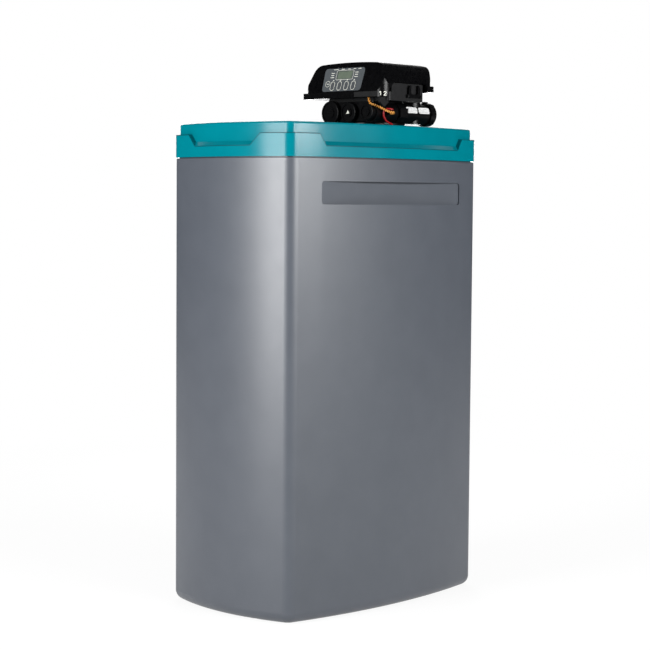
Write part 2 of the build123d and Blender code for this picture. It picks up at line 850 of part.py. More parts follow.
with BuildPart() as overflow_nut:
    with BuildSketch(Plane.XZ.offset(-front_reach + tub_wall + 2 * seat_gap)):
        with Locations((0, overflow_height)):
            RegularPolygon(overflow_flange_radius, nut_sides)
            Circle(overflow_radius + running_fit, mode=Mode.SUBTRACT)
    extrude(amount=overflow_nut_thickness)
overflow_nut.part.label = "overflow_nut"
export_step(overflow_nut.part, "parts/overflow_nut.step")

# Resin tank with its boot, riser, strainers and resin
neck_length = neck_drop + top_dome
with BuildPart() as resin_tank:
    add(tank_form(0))
    with BuildSketch(Plane.XY.offset(tank_neck_top - neck_length)):
        with Locations((0, tank_y)):
            Circle(neck_radius)
    extrude(amount=neck_length)
    add(tank_form(tank_wall), mode=Mode.SUBTRACT)
    with BuildSketch(Plane.XY.offset(tank_neck_top - neck_length)):
        with Locations((0, tank_y)):
            Circle(neck_bore)
    extrude(amount=neck_length + overrun, mode=Mode.SUBTRACT)
resin_tank.part.label = "resin_tank"
export_step(resin_tank.part, "parts/resin_tank.step")

with BuildPart() as tank_boot:
    with BuildSketch(Plane.XY.offset(tub_floor)):
        with Locations((0, tank_y)):
            Circle(tank_radius + seat_gap + boot_wall)
    extrude(amount=boot_height)
    with BuildSketch(Plane.XY.offset(tub_floor + boot_wall)):
        with Locations((0, tank_y)):
            Circle(tank_radius + seat_gap)
    extrude(amount=boot_height, mode=Mode.SUBTRACT)
tank_boot.part.label = "tank_boot"
export_step(tank_boot.part, "parts/tank_boot.step")

dome_rise_share = 1 - math.sqrt(1 - (strainer_radius / (tank_radius - tank_wall)) ** 2)
strainer_foot = tank_bottom + tank_wall + (bottom_dome - tank_wall) * dome_rise_share + seat_gap
with BuildPart() as lower_strainer:
    with BuildSketch(Plane.XY.offset(strainer_foot)):
        with Locations((0, tank_y)):
            Circle(strainer_radius)
    extrude(amount=strainer_height)
    with BuildSketch(Plane.XY.offset(strainer_foot + strainer_wall)):
        with Locations((0, tank_y)):
            Circle(strainer_radius - strainer_wall)
    extrude(amount=strainer_height - 2 * strainer_wall, mode=Mode.SUBTRACT)
    with BuildSketch(Plane.XY.offset(strainer_foot + strainer_height - strainer_wall)):
        with Locations((0, tank_y)):
            Circle(riser_radius + running_fit)
    extrude(amount=overrun, mode=Mode.SUBTRACT)
    with BuildSketch(Plane.XY.offset(strainer_foot + 2 * strainer_wall)):
        with Locations(Location((0, tank_y, 0))):
            with PolarLocations(strainer_radius, lower_slots):
                Rectangle(4 * strainer_wall, strainer_wall / 2)
    extrude(amount=strainer_height - 4 * strainer_wall, mode=Mode.SUBTRACT)
lower_strainer.part.label = "lower_strainer"
export_step(lower_strainer.part, "parts/lower_strainer.step")

riser_foot = strainer_foot + strainer_height - 3 * strainer_wall
riser_head = valve_base + port_rise / 2
with BuildPart() as riser_tube:
    with BuildSketch(Plane.XY.offset(riser_foot)):
        with Locations((0, tank_y)):
            Circle(riser_radius)
            Circle(riser_radius - riser_wall, mode=Mode.SUBTRACT)
    extrude(amount=riser_head - riser_foot)
riser_tube.part.label = "riser_tube"
export_step(riser_tube.part, "parts/riser_tube.step")

spigot_foot = tank_neck_top - spigot_length
with BuildPart() as upper_strainer:
    with BuildSketch(Plane.XY.offset(spigot_foot - upper_strainer_height)):
        with Locations((0, tank_y)):
            Circle(upper_strainer_radius)
            Circle(riser_radius + seat_gap, mode=Mode.SUBTRACT)
    extrude(amount=upper_strainer_height)
    with BuildSketch(Plane.XY.offset(spigot_foot - upper_strainer_height + strainer_wall)):
        with Locations((0, tank_y)):
            Circle(upper_strainer_radius - strainer_wall)
            Circle(riser_radius + seat_gap + strainer_wall, mode=Mode.SUBTRACT)
    extrude(amount=upper_strainer_height, mode=Mode.SUBTRACT)
    with BuildSketch(Plane.XY.offset(spigot_foot - upper_strainer_height + 2 * strainer_wall)):
        with Locations(Location((0, tank_y, 0))):
            with PolarLocations(upper_strainer_radius, upper_slots):
                Rectangle(3 * strainer_wall, strainer_wall / 2)
    extrude(amount=upper_strainer_height - 4 * strainer_wall, mode=Mode.SUBTRACT)
upper_strainer.part.label = "upper_strainer"
export_step(upper_strainer.part, "parts/upper_strainer.step")

resin_height = (tank_neck_top - tank_bottom) * resin_share
with BuildPart() as resin_bed:
    add(tank_form(tank_wall + seat_gap))
    with BuildSketch(Plane.XY.offset(tank_bottom + resin_height)):
        with Locations((0, tank_y)):
            Circle(tank_radius + overrun)
    extrude(amount=tank_neck_top, mode=Mode.SUBTRACT)
    with BuildSketch(Plane.XY):
        with Locations((0, tank_y)):
            Circle(strainer_radius + seat_gap)
    extrude(amount=strainer_foot + strainer_height + seat_gap, mode=Mode.SUBTRACT)
    with BuildSketch(Plane.XY):
        with Locations((0, tank_y)):
            Circle(riser_radius + seat_gap)
    extrude(amount=tank_neck_top, mode=Mode.SUBTRACT)
resin_bed.part.label = "resin_bed"
export_step(resin_bed.part, "parts/resin_bed.step")

# Salt grid: a holed platform on four legs in front of the tank
grid_top = grid_height
with BuildPart() as salt_grid:
    extrude(cabinet_plan(tub_wall + grid_edge_gap, grid_top - grid_thickness), amount=grid_thickness)
    with BuildSketch(Plane.XY.offset(grid_top - grid_thickness - overrun)):
        with Locations((0, tank_y - grid_reach + front_reach)):
            Rectangle(4 * side_reach, 2 * front_reach)
        with Locations((0, tank_y)):
            Circle(tank_radius + grid_edge_gap)
        with Locations((well_x, well_y)):
            Circle(well_radius + seat_gap)
    extrude(amount=grid_thickness + 2 * overrun, mode=Mode.SUBTRACT)
    with BuildSketch(Plane.XY.offset(grid_top - grid_thickness)):
        with Locations((grid_pitch, (tank_y - tank_radius - front_reach) / 2 - grid_pitch / 2)):
            with GridLocations(grid_pitch, grid_pitch, grid_columns, grid_rows):
                Circle(grid_hole_radius)
    extrude(amount=grid_thickness, mode=Mode.SUBTRACT)
    leg_x = corner_width / 2 - 2 * grid_pitch
    leg_front_y = -corner_depth / 2 + grid_pitch
    leg_back_y = well_y - well_radius - grid_pitch
    with BuildSketch(Plane.XY.offset(tub_floor)):
        with Locations(
            (-leg_x, leg_front_y),
            (leg_x, leg_front_y),
            (-leg_x - grid_pitch / 2, leg_back_y),
            (leg_x + grid_pitch, leg_back_y),
        ):
            Circle(grid_leg_radius)
            Circle(grid_leg_radius - strainer_wall, mode=Mode.SUBTRACT)
    extrude(amount=grid_top - grid_thickness - tub_floor)
salt_grid.part.label = "salt_grid"
export_step(salt_grid.part, "parts/salt_grid.step")

# Brine well: a slotted tube that stands on the tub's floor, and its cap
with BuildPart() as brine_well:
    with BuildSketch(Plane.XY.offset(tub_floor)):
        with Locations((well_x, well_y)):
            Circle(well_radius)
            Circle(well_radius - well_wall, mode=Mode.SUBTRACT)
    extrude(amount=well_top - tub_floor)
    with BuildSketch(Plane.XY.offset(tub_floor + well_slot_height / 4)):
        with Locations(Location((well_x, well_y, 0))):
            with PolarLocations(well_radius, well_slots):
                Rectangle(4 * well_wall, well_slot_width)
    extrude(amount=well_slot_height, mode=Mode.SUBTRACT)
brine_well.part.label = "brine_well"
export_step(brine_well.part, "parts/brine_well.step")

tube_hole_x = well_x + well_radius / 2
tube_hole_y = well_y
with BuildPart() as brine_well_cap:
    with BuildSketch(Plane.XY.offset(well_top + seat_gap)):
        with Locations((well_x, well_y)):
            Circle(well_radius + cap_plate)
    extrude(amount=cap_plate)
    with BuildSketch(Plane.XY.offset(well_top + seat_gap)):
        with Locations((well_x, well_y)):
            Circle(well_radius - well_wall - seat_gap)
            Circle(well_radius - 2 * well_wall - seat_gap, mode=Mode.SUBTRACT)
    extrude(amount=-cap_skirt)
    with BuildSketch(Plane.XY.offset(well_top - overrun)):
        with Locations((tube_hole_x, tube_hole_y)):
            Circle(tube_radius + cap_hole_gap)
    extrude(amount=2 * overrun, mode=Mode.SUBTRACT)
brine_well_cap.part.label = "brine_well_cap"
export_step(brine_well_cap.part, "parts/brine_well_cap.step")

# Safety float valve: body, sliding rod, float, pickup tube and air check
valve_head = well_top - float_valve_drop
valve_foot = valve_head - float_valve_height
pickup_x = well_x + pickup_offset
with BuildPart() as brine_valve:
    with BuildSketch(Plane.XY.offset(valve_foot)):
        with Locations((well_x, well_y)):
            Circle(float_valve_radius)
        with Locations(((well_x + pickup_x) / 2, well_y)):
            Rectangle(pickup_offset, float_valve_radius)
        with Locations((pickup_x, well_y)):
            Circle(float_valve_radius / 2)
    extrude(amount=float_valve_height)
    with BuildSketch(Plane.XY.offset(valve_head)):
        with Locations((tube_hole_x, tube_hole_y)):
            Circle(tube_radius + strainer_wall)
            Circle(tube_radius + running_fit, mode=Mode.SUBTRACT)
    extrude(amount=fitting_nut_length)
    with BuildSketch(Plane.XY.offset(valve_foot)):
        with Locations((well_x - (well_radius - well_wall + float_valve_radius) / 2, well_y)):
            Rectangle(well_radius - well_wall - float_valve_radius + seat_gap, float_valve_radius / 2)
    extrude(amount=float_valve_height / 2)
    fixture_reach = well_radius - well_wall - seat_gap
    with BuildSketch(Plane.XY.offset(valve_foot - overrun)):
        with Locations((well_x, well_y)):
            Circle(well_radius + overrun)
            Circle(fixture_reach, mode=Mode.SUBTRACT)
    extrude(amount=float_valve_height + 2 * overrun, mode=Mode.SUBTRACT)
    with BuildSketch(Plane.XY.offset(valve_foot)):
        with Locations((well_x, well_y)):
            Circle(float_rod_radius + running_fit)
    extrude(amount=float_valve_height - strainer_wall, mode=Mode.SUBTRACT)
    with BuildSketch(Plane.XY.offset(valve_foot)):
        with Locations((pickup_x, well_y)):
            Circle(pickup_radius + running_fit)
    extrude(amount=float_valve_height / 4, mode=Mode.SUBTRACT)
brine_valve.part.label = "brine_valve"
export_step(brine_valve.part, "parts/brine_valve.step")

rod_head = valve_head - strainer_wall - float_lift - seat_gap
rod_foot = valve_foot - float_rod_length
with BuildPart() as float_rod:
    with BuildSketch(Plane.XY.offset(rod_foot)):
        with Locations((well_x, well_y)):
            Circle(float_rod_radius)
    extrude(amount=rod_head - rod_foot)
float_rod.part.label = "float_rod"
export_step(float_rod.part, "parts/float_rod.step")

with BuildPart() as brine_float:
    with BuildSketch(Plane.XY.offset(rod_foot + float_height / 4)):
        with Locations((well_x, well_y)):
            Circle(float_radius)
    extrude(amount=float_height)
    fillet(brine_float.edges(), float_rod_radius)
    with BuildSketch(Plane.XY.offset(rod_foot)):
        with Locations((well_x, well_y)):
            Circle(float_rod_radius + running_fit)
    extrude(amount=2 * float_height, mode=Mode.SUBTRACT)
brine_float.part.label = "brine_float"
export_step(brine_float.part, "parts/brine_float.step")

with BuildPart() as pickup_tube:
    with BuildSketch(Plane.XY.offset(tub_floor + air_check_height)):
        with Locations((pickup_x, well_y)):
            Circle(pickup_radius)
            Circle(pickup_radius - pickup_wall, mode=Mode.SUBTRACT)
    extrude(amount=valve_foot + float_valve_height / 4 - tub_floor - air_check_height)
pickup_tube.part.label = "pickup_tube"
export_step(pickup_tube.part, "parts/pickup_tube.step")

with BuildPart() as air_check:
    with BuildSketch(Plane.XY.offset(tub_floor)):
        with Locations((pickup_x, well_y)):
            Circle(air_check_radius)
    extrude(amount=air_check_height + strainer_wall)
    fillet(air_check.edges(), pickup_wall)
    with BuildSketch(Plane.XY.offset(tub_floor + strainer_wall)):
        with Locations((pickup_x, well_y)):
            Circle(air_check_radius - strainer_wall)
    extrude(amount=air_check_height - 2 * strainer_wall, mode=Mode.SUBTRACT)
    with BuildSketch(Plane.XY.offset(tub_floor + air_check_height)):
        with Locations((pickup_x, well_y)):
            Circle(pickup_radius + running_fit)
    extrude(amount=overrun, mode=Mode.SUBTRACT)
    with BuildSketch(Plane.XY.offset(tub_floor + 2 * strainer_wall)):
        with Locations(Location((pickup_x, well_y, 0))):
            with PolarLocations(air_check_radius, air_slots):
                Rectangle(4 * strainer_wall, strainer_wall)
    extrude(amount=air_check_height / 2, mode=Mode.SUBTRACT)
air_check.part.label = "air_check"
export_step(air_check.part, "parts/air_check.step")

# Control valve body: collar and spigot on the tank, manifold, two barrels, deck and front necks
turbine_y = tank_y - meter_forward
spider_y = turbine_length / 2 + spider_gap / 2 + seat_gap
brine_z = port_z - fitting_drop
drain_y = tank_y - drain_forward
front_caps = (
    (-port_spread, injector_cap_radius),
    (0, screen_cap_radius),
    (port_spread, refill_cap_radius),
)
cap_back_y = manifold_front_y - cap_neck_length + seat_gap
with BuildPart() as valve_body:
    with BuildSketch(Plane.XY.offset(valve_base)):
        with Locations((0, (manifold_front_y + manifold_back_y) / 2)):
            Rectangle(manifold_width, manifold_back_y - manifold_front_y)
    extrude(amount=manifold_height)
    fillet(valve_body.edges().filter_by(Axis.Z), manifold_round)
    fillet(valve_body.edges().group_by(Axis.Z)[0], manifold_round)
    with BuildSketch(Plane.XY.offset(tank_neck_top)):
        with Locations((0, tank_y)):
            Circle(collar_radius)
    extrude(amount=valve_base - tank_neck_top)
    with BuildSketch(Plane.XY.offset(spigot_foot)):
        with Locations((0, tank_y)):
            Circle(neck_bore - seat_gap)
    extrude(amount=spigot_length)
    with BuildSketch(Plane.XY.offset(manifold_top)):
        with Locations(((deck_right - deck_left) / 2, tank_y - (deck_front - deck_back) / 2)):
            Rectangle(deck_left + deck_right, deck_front + deck_back)
    extrude(amount=deck_height)
    with BuildSketch(Plane.XZ.offset(-manifold_front_y)):
        with Locations((-port_spread, port_z), (port_spread, port_z)):
            Circle(barrel_radius)
    extrude(amount=-(manifold_back_y - manifold_front_y))
    for cap_x, cap_radius in front_caps:
        with BuildSketch(Plane.XZ.offset(-cap_back_y)):
            with Locations((cap_x, port_z)):
                Circle(cap_radius * cap_neck_share)
        extrude(amount=-(manifold_front_y - cap_back_y))
    with BuildSketch(Plane.YZ.offset(manifold_width / 2 - manifold_round)):
        with Locations((turbine_y, port_z)):
            Circle(boss_radius)
    extrude(amount=boss_face_x - manifold_width / 2 + manifold_round)
    with BuildSketch(Plane.YZ.offset(-manifold_width / 2 + manifold_round)):
        with Locations((drain_y, port_z), (brine_hole_y, brine_z)):
            Circle(boss_radius)
    extrude(amount=-(boss_face_x - manifold_width / 2 + manifold_round))
    # water ways: the two barrels, the riser's socket, the side holes
    bore_front_y = turbine_y - turbine_length / 2 - 2 * spider_gap
    with BuildSketch(Plane.XZ.offset(-bore_front_y)):
        with Locations((-port_spread, port_z), (port_spread, port_z)):
            Circle(barrel_bore)
    extrude(amount=-(manifold_back_y - bore_front_y + overrun), mode=Mode.SUBTRACT)
    with BuildSketch(Plane.XY.offset(spigot_foot - overrun)):
        with Locations((0, tank_y)):
            Circle(riser_radius + running_fit)
    extrude(amount=riser_head - spigot_foot + overrun, mode=Mode.SUBTRACT)
    with BuildSketch(Plane.YZ.offset(port_spread)):
        with Locations((turbine_y, port_z)):
            Circle(probe_radius + running_fit)
    extrude(amount=barrel_radius + 2 * overrun, mode=Mode.SUBTRACT)
    with BuildSketch(Plane.YZ.offset(-boss_face_x + probe_length / 2 + seat_gap)):
        with Locations((drain_y, port_z)):
            Circle(drain_radius - spider_width + running_fit)
        with Locations((brine_hole_y, brine_z)):
            Circle(fitting_radius - strainer_wall / 2 + running_fit)
    extrude(amount=-(barrel_radius + 2 * overrun), mode=Mode.SUBTRACT)
    # the spiders that carry the meter's shaft
    for end in (-1, 1):
        spider_middle = turbine_y + end * spider_y
        with BuildSketch(Plane.XZ.offset(-spider_middle + spider_gap / 2)):
            with Locations((port_spread, port_z)):
                Circle(turbine_hub)
                for turn in (0, quarter_turn):
                    Rectangle(2 * barrel_bore + spider_width, spider_width / 2, rotation=turn)
                Circle(turbine_shaft_radius + running_fit, mode=Mode.SUBTRACT)
        extrude(amount=-spider_gap)
    # screw holes in the deck
    screw_x = (-deck_left + plate_side + screw_radius, deck_right - plate_side - screw_radius)
    screw_y = (
        tank_y - deck_front + plate_side + screw_radius,
        manifold_back_y - plate_side - screw_radius,
    )
    with BuildSketch(Plane.XY.offset(deck_top)):
        with Locations(*[(x, y) for x in screw_x for y in screw_y]):
            Circle(screw_radius + running_fit)
    extrude(amount=-(screw_length - plate_thickness + seat_gap), mode=Mode.SUBTRACT)
valve_body.part.label = "valve_body"
export_step(valve_body.part, "parts/valve_body.step")

# Screw caps on the valve's front, each with a dished face and a slotted knob
for (cap_x, cap_radius), cap_name in zip(front_caps, ("injector_cap", "screen_cap", "refill_cap")):
    with BuildPart() as front_cap:
        with BuildSketch(Plane.XZ.offset(-cap_front_y)):
            with Locations((cap_x, port_z)):
                Circle(cap_radius)
        extrude(amount=-(manifold_front_y - seat_gap - cap_front_y))
        fillet(front_cap.edges().group_by(Axis.Y)[0], cap_dish / 2)
        with BuildSketch(Plane.XZ.offset(-cap_back_y + seat_gap)):
            with Locations((cap_x, port_z)):
                Circle(cap_radius * cap_neck_share + running_fit)
        extrude(amount=-overrun, mode=Mode.SUBTRACT)
        with BuildSketch(Plane.XZ.offset(-cap_front_y)):
            with Locations((cap_x, port_z)):
                Circle(cap_radius - cap_rim)
                Circle(cap_radius * cap_knob_share, mode=Mode.SUBTRACT)
        extrude(amount=-cap_dish, mode=Mode.SUBTRACT)
        with BuildSketch(Plane.XZ.offset(-cap_front_y)):
            with Locations((cap_x, port_z)):
                Rectangle(2 * cap_radius * cap_knob_share, cap_slot_width)
        extrude(amount=-cap_dish / 2, mode=Mode.SUBTRACT)
    front_cap.part.label = cap_name
    export_step(front_cap.part, f"parts/{cap_name}.step")

# Meter: a bladed wheel on its shaft in the right barrel, and the sensor plug beside it
with BuildPart() as turbine_wheel:
    with BuildSketch(Plane.XZ.offset(-turbine_y + turbine_length / 2)):
        with Locations((port_spread, port_z)):
            Circle(turbine_hub)
            for blade in range(turbine_blades):
                Rectangle(2 * turbine_radius, turbine_blade, rotation=half_turn / turbine_blades * blade)
    extrude(amount=-turbine_length)
    shaft_front = turbine_y - spider_y - spider_gap / 2
    with BuildSketch(Plane.XZ.offset(-shaft_front)):
        with Locations((port_spread, port_z)):
            Circle(turbine_shaft_radius)
    extrude(amount=-2 * (spider_y + spider_gap / 2))
turbine_wheel.part.label = "turbine_wheel"
export_step(turbine_wheel.part, "parts/turbine_wheel.step")

with BuildPart() as flow_probe:
    with BuildSketch(Plane.YZ.offset(boss_face_x - probe_length / 2)):
        with Locations((turbine_y, port_z)):
            Circle(probe_radius)
    extrude(amount=probe_length / 2)
    with BuildSketch(Plane.YZ.offset(boss_face_x)):
        with Locations((turbine_y, port_z)):
            Circle(probe_head_radius)
    extrude(amount=probe_head)
    fillet(flow_probe.edges().group_by(Axis.X)[-1], screw_radius / 2)
flow_probe.part.label = "flow_probe"
export_step(flow_probe.part, "parts/flow_probe.step")

# Top plate with the ribs and the pin that carry the levers
lever_row = tank_y - deck_front + (deck_front + deck_back) / 2 - plate_side / 2
lever_places = [lever_row + (place - (lever_count - 1) / 2) * lever_pitch for place in range(lever_count)]
rib_places = [lever_row + (place - lever_count / 2) * lever_pitch for place in range(lever_count + 1)]
pivot_z = plate_top + lever_rise
plate_front_y = tank_y - deck_front + seat_gap
plate_back_y = tank_y + deck_back - seat_gap
with BuildPart() as top_plate:
    with BuildSketch(Plane.XY.offset(deck_top)):
        with Locations(((deck_right - deck_left) / 2, (plate_front_y + plate_back_y) / 2)):
            Rectangle(deck_left + deck_right - 2 * seat_gap, plate_back_y - plate_front_y)
        with Locations(*[(x, y) for x in screw_x for y in screw_y]):
            Circle(screw_radius + running_fit, mode=Mode.SUBTRACT)
    extrude(amount=plate_thickness)
    with BuildSketch(Plane.XY.offset(plate_top)):
        with Locations(*[(-lever_pivot, y) for y in rib_places]):
            Rectangle(rib_depth, rib_width)
    extrude(amount=lever_rise + lever_pin_radius + seat_gap)
    with BuildSketch(Plane.XZ.offset(-rib_places[0])):
        with Locations((-lever_pivot, pivot_z)):
            Circle(lever_pin_radius)
    extrude(amount=-(rib_places[-1] - rib_places[0]))
    spring_wall_x = -deck_left + seat_gap + spring_wall / 2
    with BuildSketch(Plane.XY.offset(plate_top)):
        with Locations((spring_wall_x, lever_row)):
            Rectangle(spring_wall, lever_places[-1] - lever_places[0] - lever_pitch / 2)
    extrude(amount=spring_rise)
top_plate.part.label = "top_plate"
export_step(top_plate.part, "parts/top_plate.step")

with BuildPart() as top_plate_screws:
    with BuildSketch(Plane.XY.offset(plate_top)):
        with Locations(*[(x, y) for x in screw_x for y in screw_y]):
            Circle(screw_head_radius)
    extrude(amount=screw_head_height)
    with BuildSketch(Plane.XY.offset(plate_top - screw_length)):
        with Locations(*[(x, y) for x in screw_x for y in screw_y]):
            Circle(screw_radius)
    extrude(amount=screw_length)
    with BuildSketch(Plane.XY.offset(plate_top + screw_head_height)):
        with Locations(*[(x, y) for x in screw_x for y in screw_y]):
            Rectangle(2 * screw_radius, screw_radius / 2)
            Rectangle(screw_radius / 2, 2 * screw_radius)
    extrude(amount=-screw_head_height / 2, mode=Mode.SUBTRACT)
top_plate_screws.part.label = "top_plate_screws"
export_step(top_plate_screws.part, "parts/top_plate_screws.step")

# Rocking levers that open the valve's ports, one to each cam
for number, lever_y in enumerate(lever_places, start=1):
    with BuildPart() as lever:
        with BuildSketch(Plane.XZ.offset(-lever_y + lever_width / 2)):
            with Locations(((lever_inner - lever_outer) / 2, pivot_z)):
                Rectangle(lever_inner + lever_outer, lever_thickness)
            with Locations((-lever_pivot, pivot_z)):
                Circle(lever_pin_radius + lever_thickness / 2)
        extrude(amount=-lever_width)
        with BuildSketch(Plane.XY.offset(plate_top + 2 * seat_gap)):
            with Locations((-lever_stem_offset, lever_y)):
                Circle(lever_stem_radius)
        extrude(amount=lever_rise - 2 * seat_gap)
        with BuildSketch(Plane.XZ.offset(-lever_y + lever_width / 2 + overrun)):
            with Locations((-lever_pivot, pivot_z)):
                Circle(lever_pin_radius + running_fit)
        extrude(amount=-(lever_width + 2 * overrun), mode=Mode.SUBTRACT)
    lever.part.label = f"valve_lever_{number}"
    export_step(lever.part, f"parts/valve_lever_{number}.step")

spring_z = plate_top + spring_rise
with BuildPart() as lever_spring:
    with BuildSketch(Plane.XY.offset(spring_z)):
        with Locations((spring_wall_x, lever_row)):
            Rectangle(spring_wall, lever_places[-1] - lever_places[0] + spring_finger)
        with Locations(*[((spring_wall_x - lever_stem_offset) / 2, y) for y in lever_places]):
            Rectangle(-spring_wall_x - lever_stem_offset, spring_finger)
    extrude(amount=spring_thickness)
lever_spring.part.label = "lever_spring"
export_step(lever_spring.part, "parts/lever_spring.step")

# Camshaft: shaft, a cam for each lever and the drive gear at the rear
pod_front_y = tank_y - pod_front
pod_back_y = tank_y + pod_back
pod_inner_back = pod_back_y - pod_wall
gear_y = pod_inner_back - pinion_front_gap - gear_width
shaft_front_y = pod_front_y + pod_wall
bearing_head = shaft_z + post_head
with BuildPart() as camshaft:
    with BuildSketch(Plane.XZ.offset(-shaft_front_y)):
        with Locations((0, shaft_z)):
            Circle(shaft_radius)
    extrude(amount=-(pod_back_y - shaft_front_y - seat_gap))
    for number, cam_y in enumerate(lever_places):
        turn = math.radians(quarter_turn + full_turn / lever_count * number)
        with BuildSketch(Plane.XZ.offset(-cam_y + lever_width / 2)):
            with Locations((0, shaft_z)):
                Circle(cam_radius)
            nose = cam_radius + cam_lift - cam_nose_radius
            with Locations((nose * math.cos(turn), shaft_z + nose * math.sin(turn))):
                Circle(cam_nose_radius)
        extrude(amount=-lever_width)
    extrude(
        gear_outline(gear_teeth, 0, 0, shaft_z, Plane.XZ.offset(-gear_y)),
        amount=-gear_width,
    )
camshaft.part.label = "camshaft"
export_step(camshaft.part, "parts/camshaft.step")

# Gear motor and its pinion, beside the camshaft
motor_x = gear_module * (gear_teeth + pinion_teeth) / 2 + gear_backlash
motor_back_y = gear_y - pinion_front_gap
with BuildPart() as drive_motor:
    with BuildSketch(Plane.XZ.offset(-motor_back_y + motor_length)):
        with Locations((motor_x, shaft_z)):
            Circle(motor_radius)
    extrude(amount=-(motor_length - motor_gearbox_length))
    fillet(drive_motor.edges().group_by(Axis.Y)[0], motor_shaft_radius)
    with BuildSketch(Plane.XZ.offset(-motor_back_y + motor_gearbox_length)):
        with Locations((motor_x, shaft_z)):
            Circle(motor_radius - motor_shaft_radius / 2)
    extrude(amount=-motor_gearbox_length)
    with BuildSketch(Plane.XZ.offset(-motor_back_y)):
        with Locations((motor_x, shaft_z)):
            Circle(motor_shaft_radius)
    extrude(amount=-(pinion_front_gap + gear_width))
drive_motor.part.label = "drive_motor"
export_step(drive_motor.part, "parts/drive_motor.step")

with BuildPart() as motor_pinion:
    pinion_phase = half_turn / pinion_teeth
    extrude(
        gear_outline(pinion_teeth, pinion_phase, motor_x, shaft_z, Plane.XZ.offset(-gear_y)),
        amount=-gear_width,
    )
    with BuildSketch(Plane.XZ.offset(-gear_y + overrun)):
        with Locations((motor_x, shaft_z)):
            Circle(motor_shaft_radius + running_fit)
    extrude(amount=-(gear_width + 2 * overrun), mode=Mode.SUBTRACT)
motor_pinion.part.label = "motor_pinion"
export_step(motor_pinion.part, "parts/motor_pinion.step")

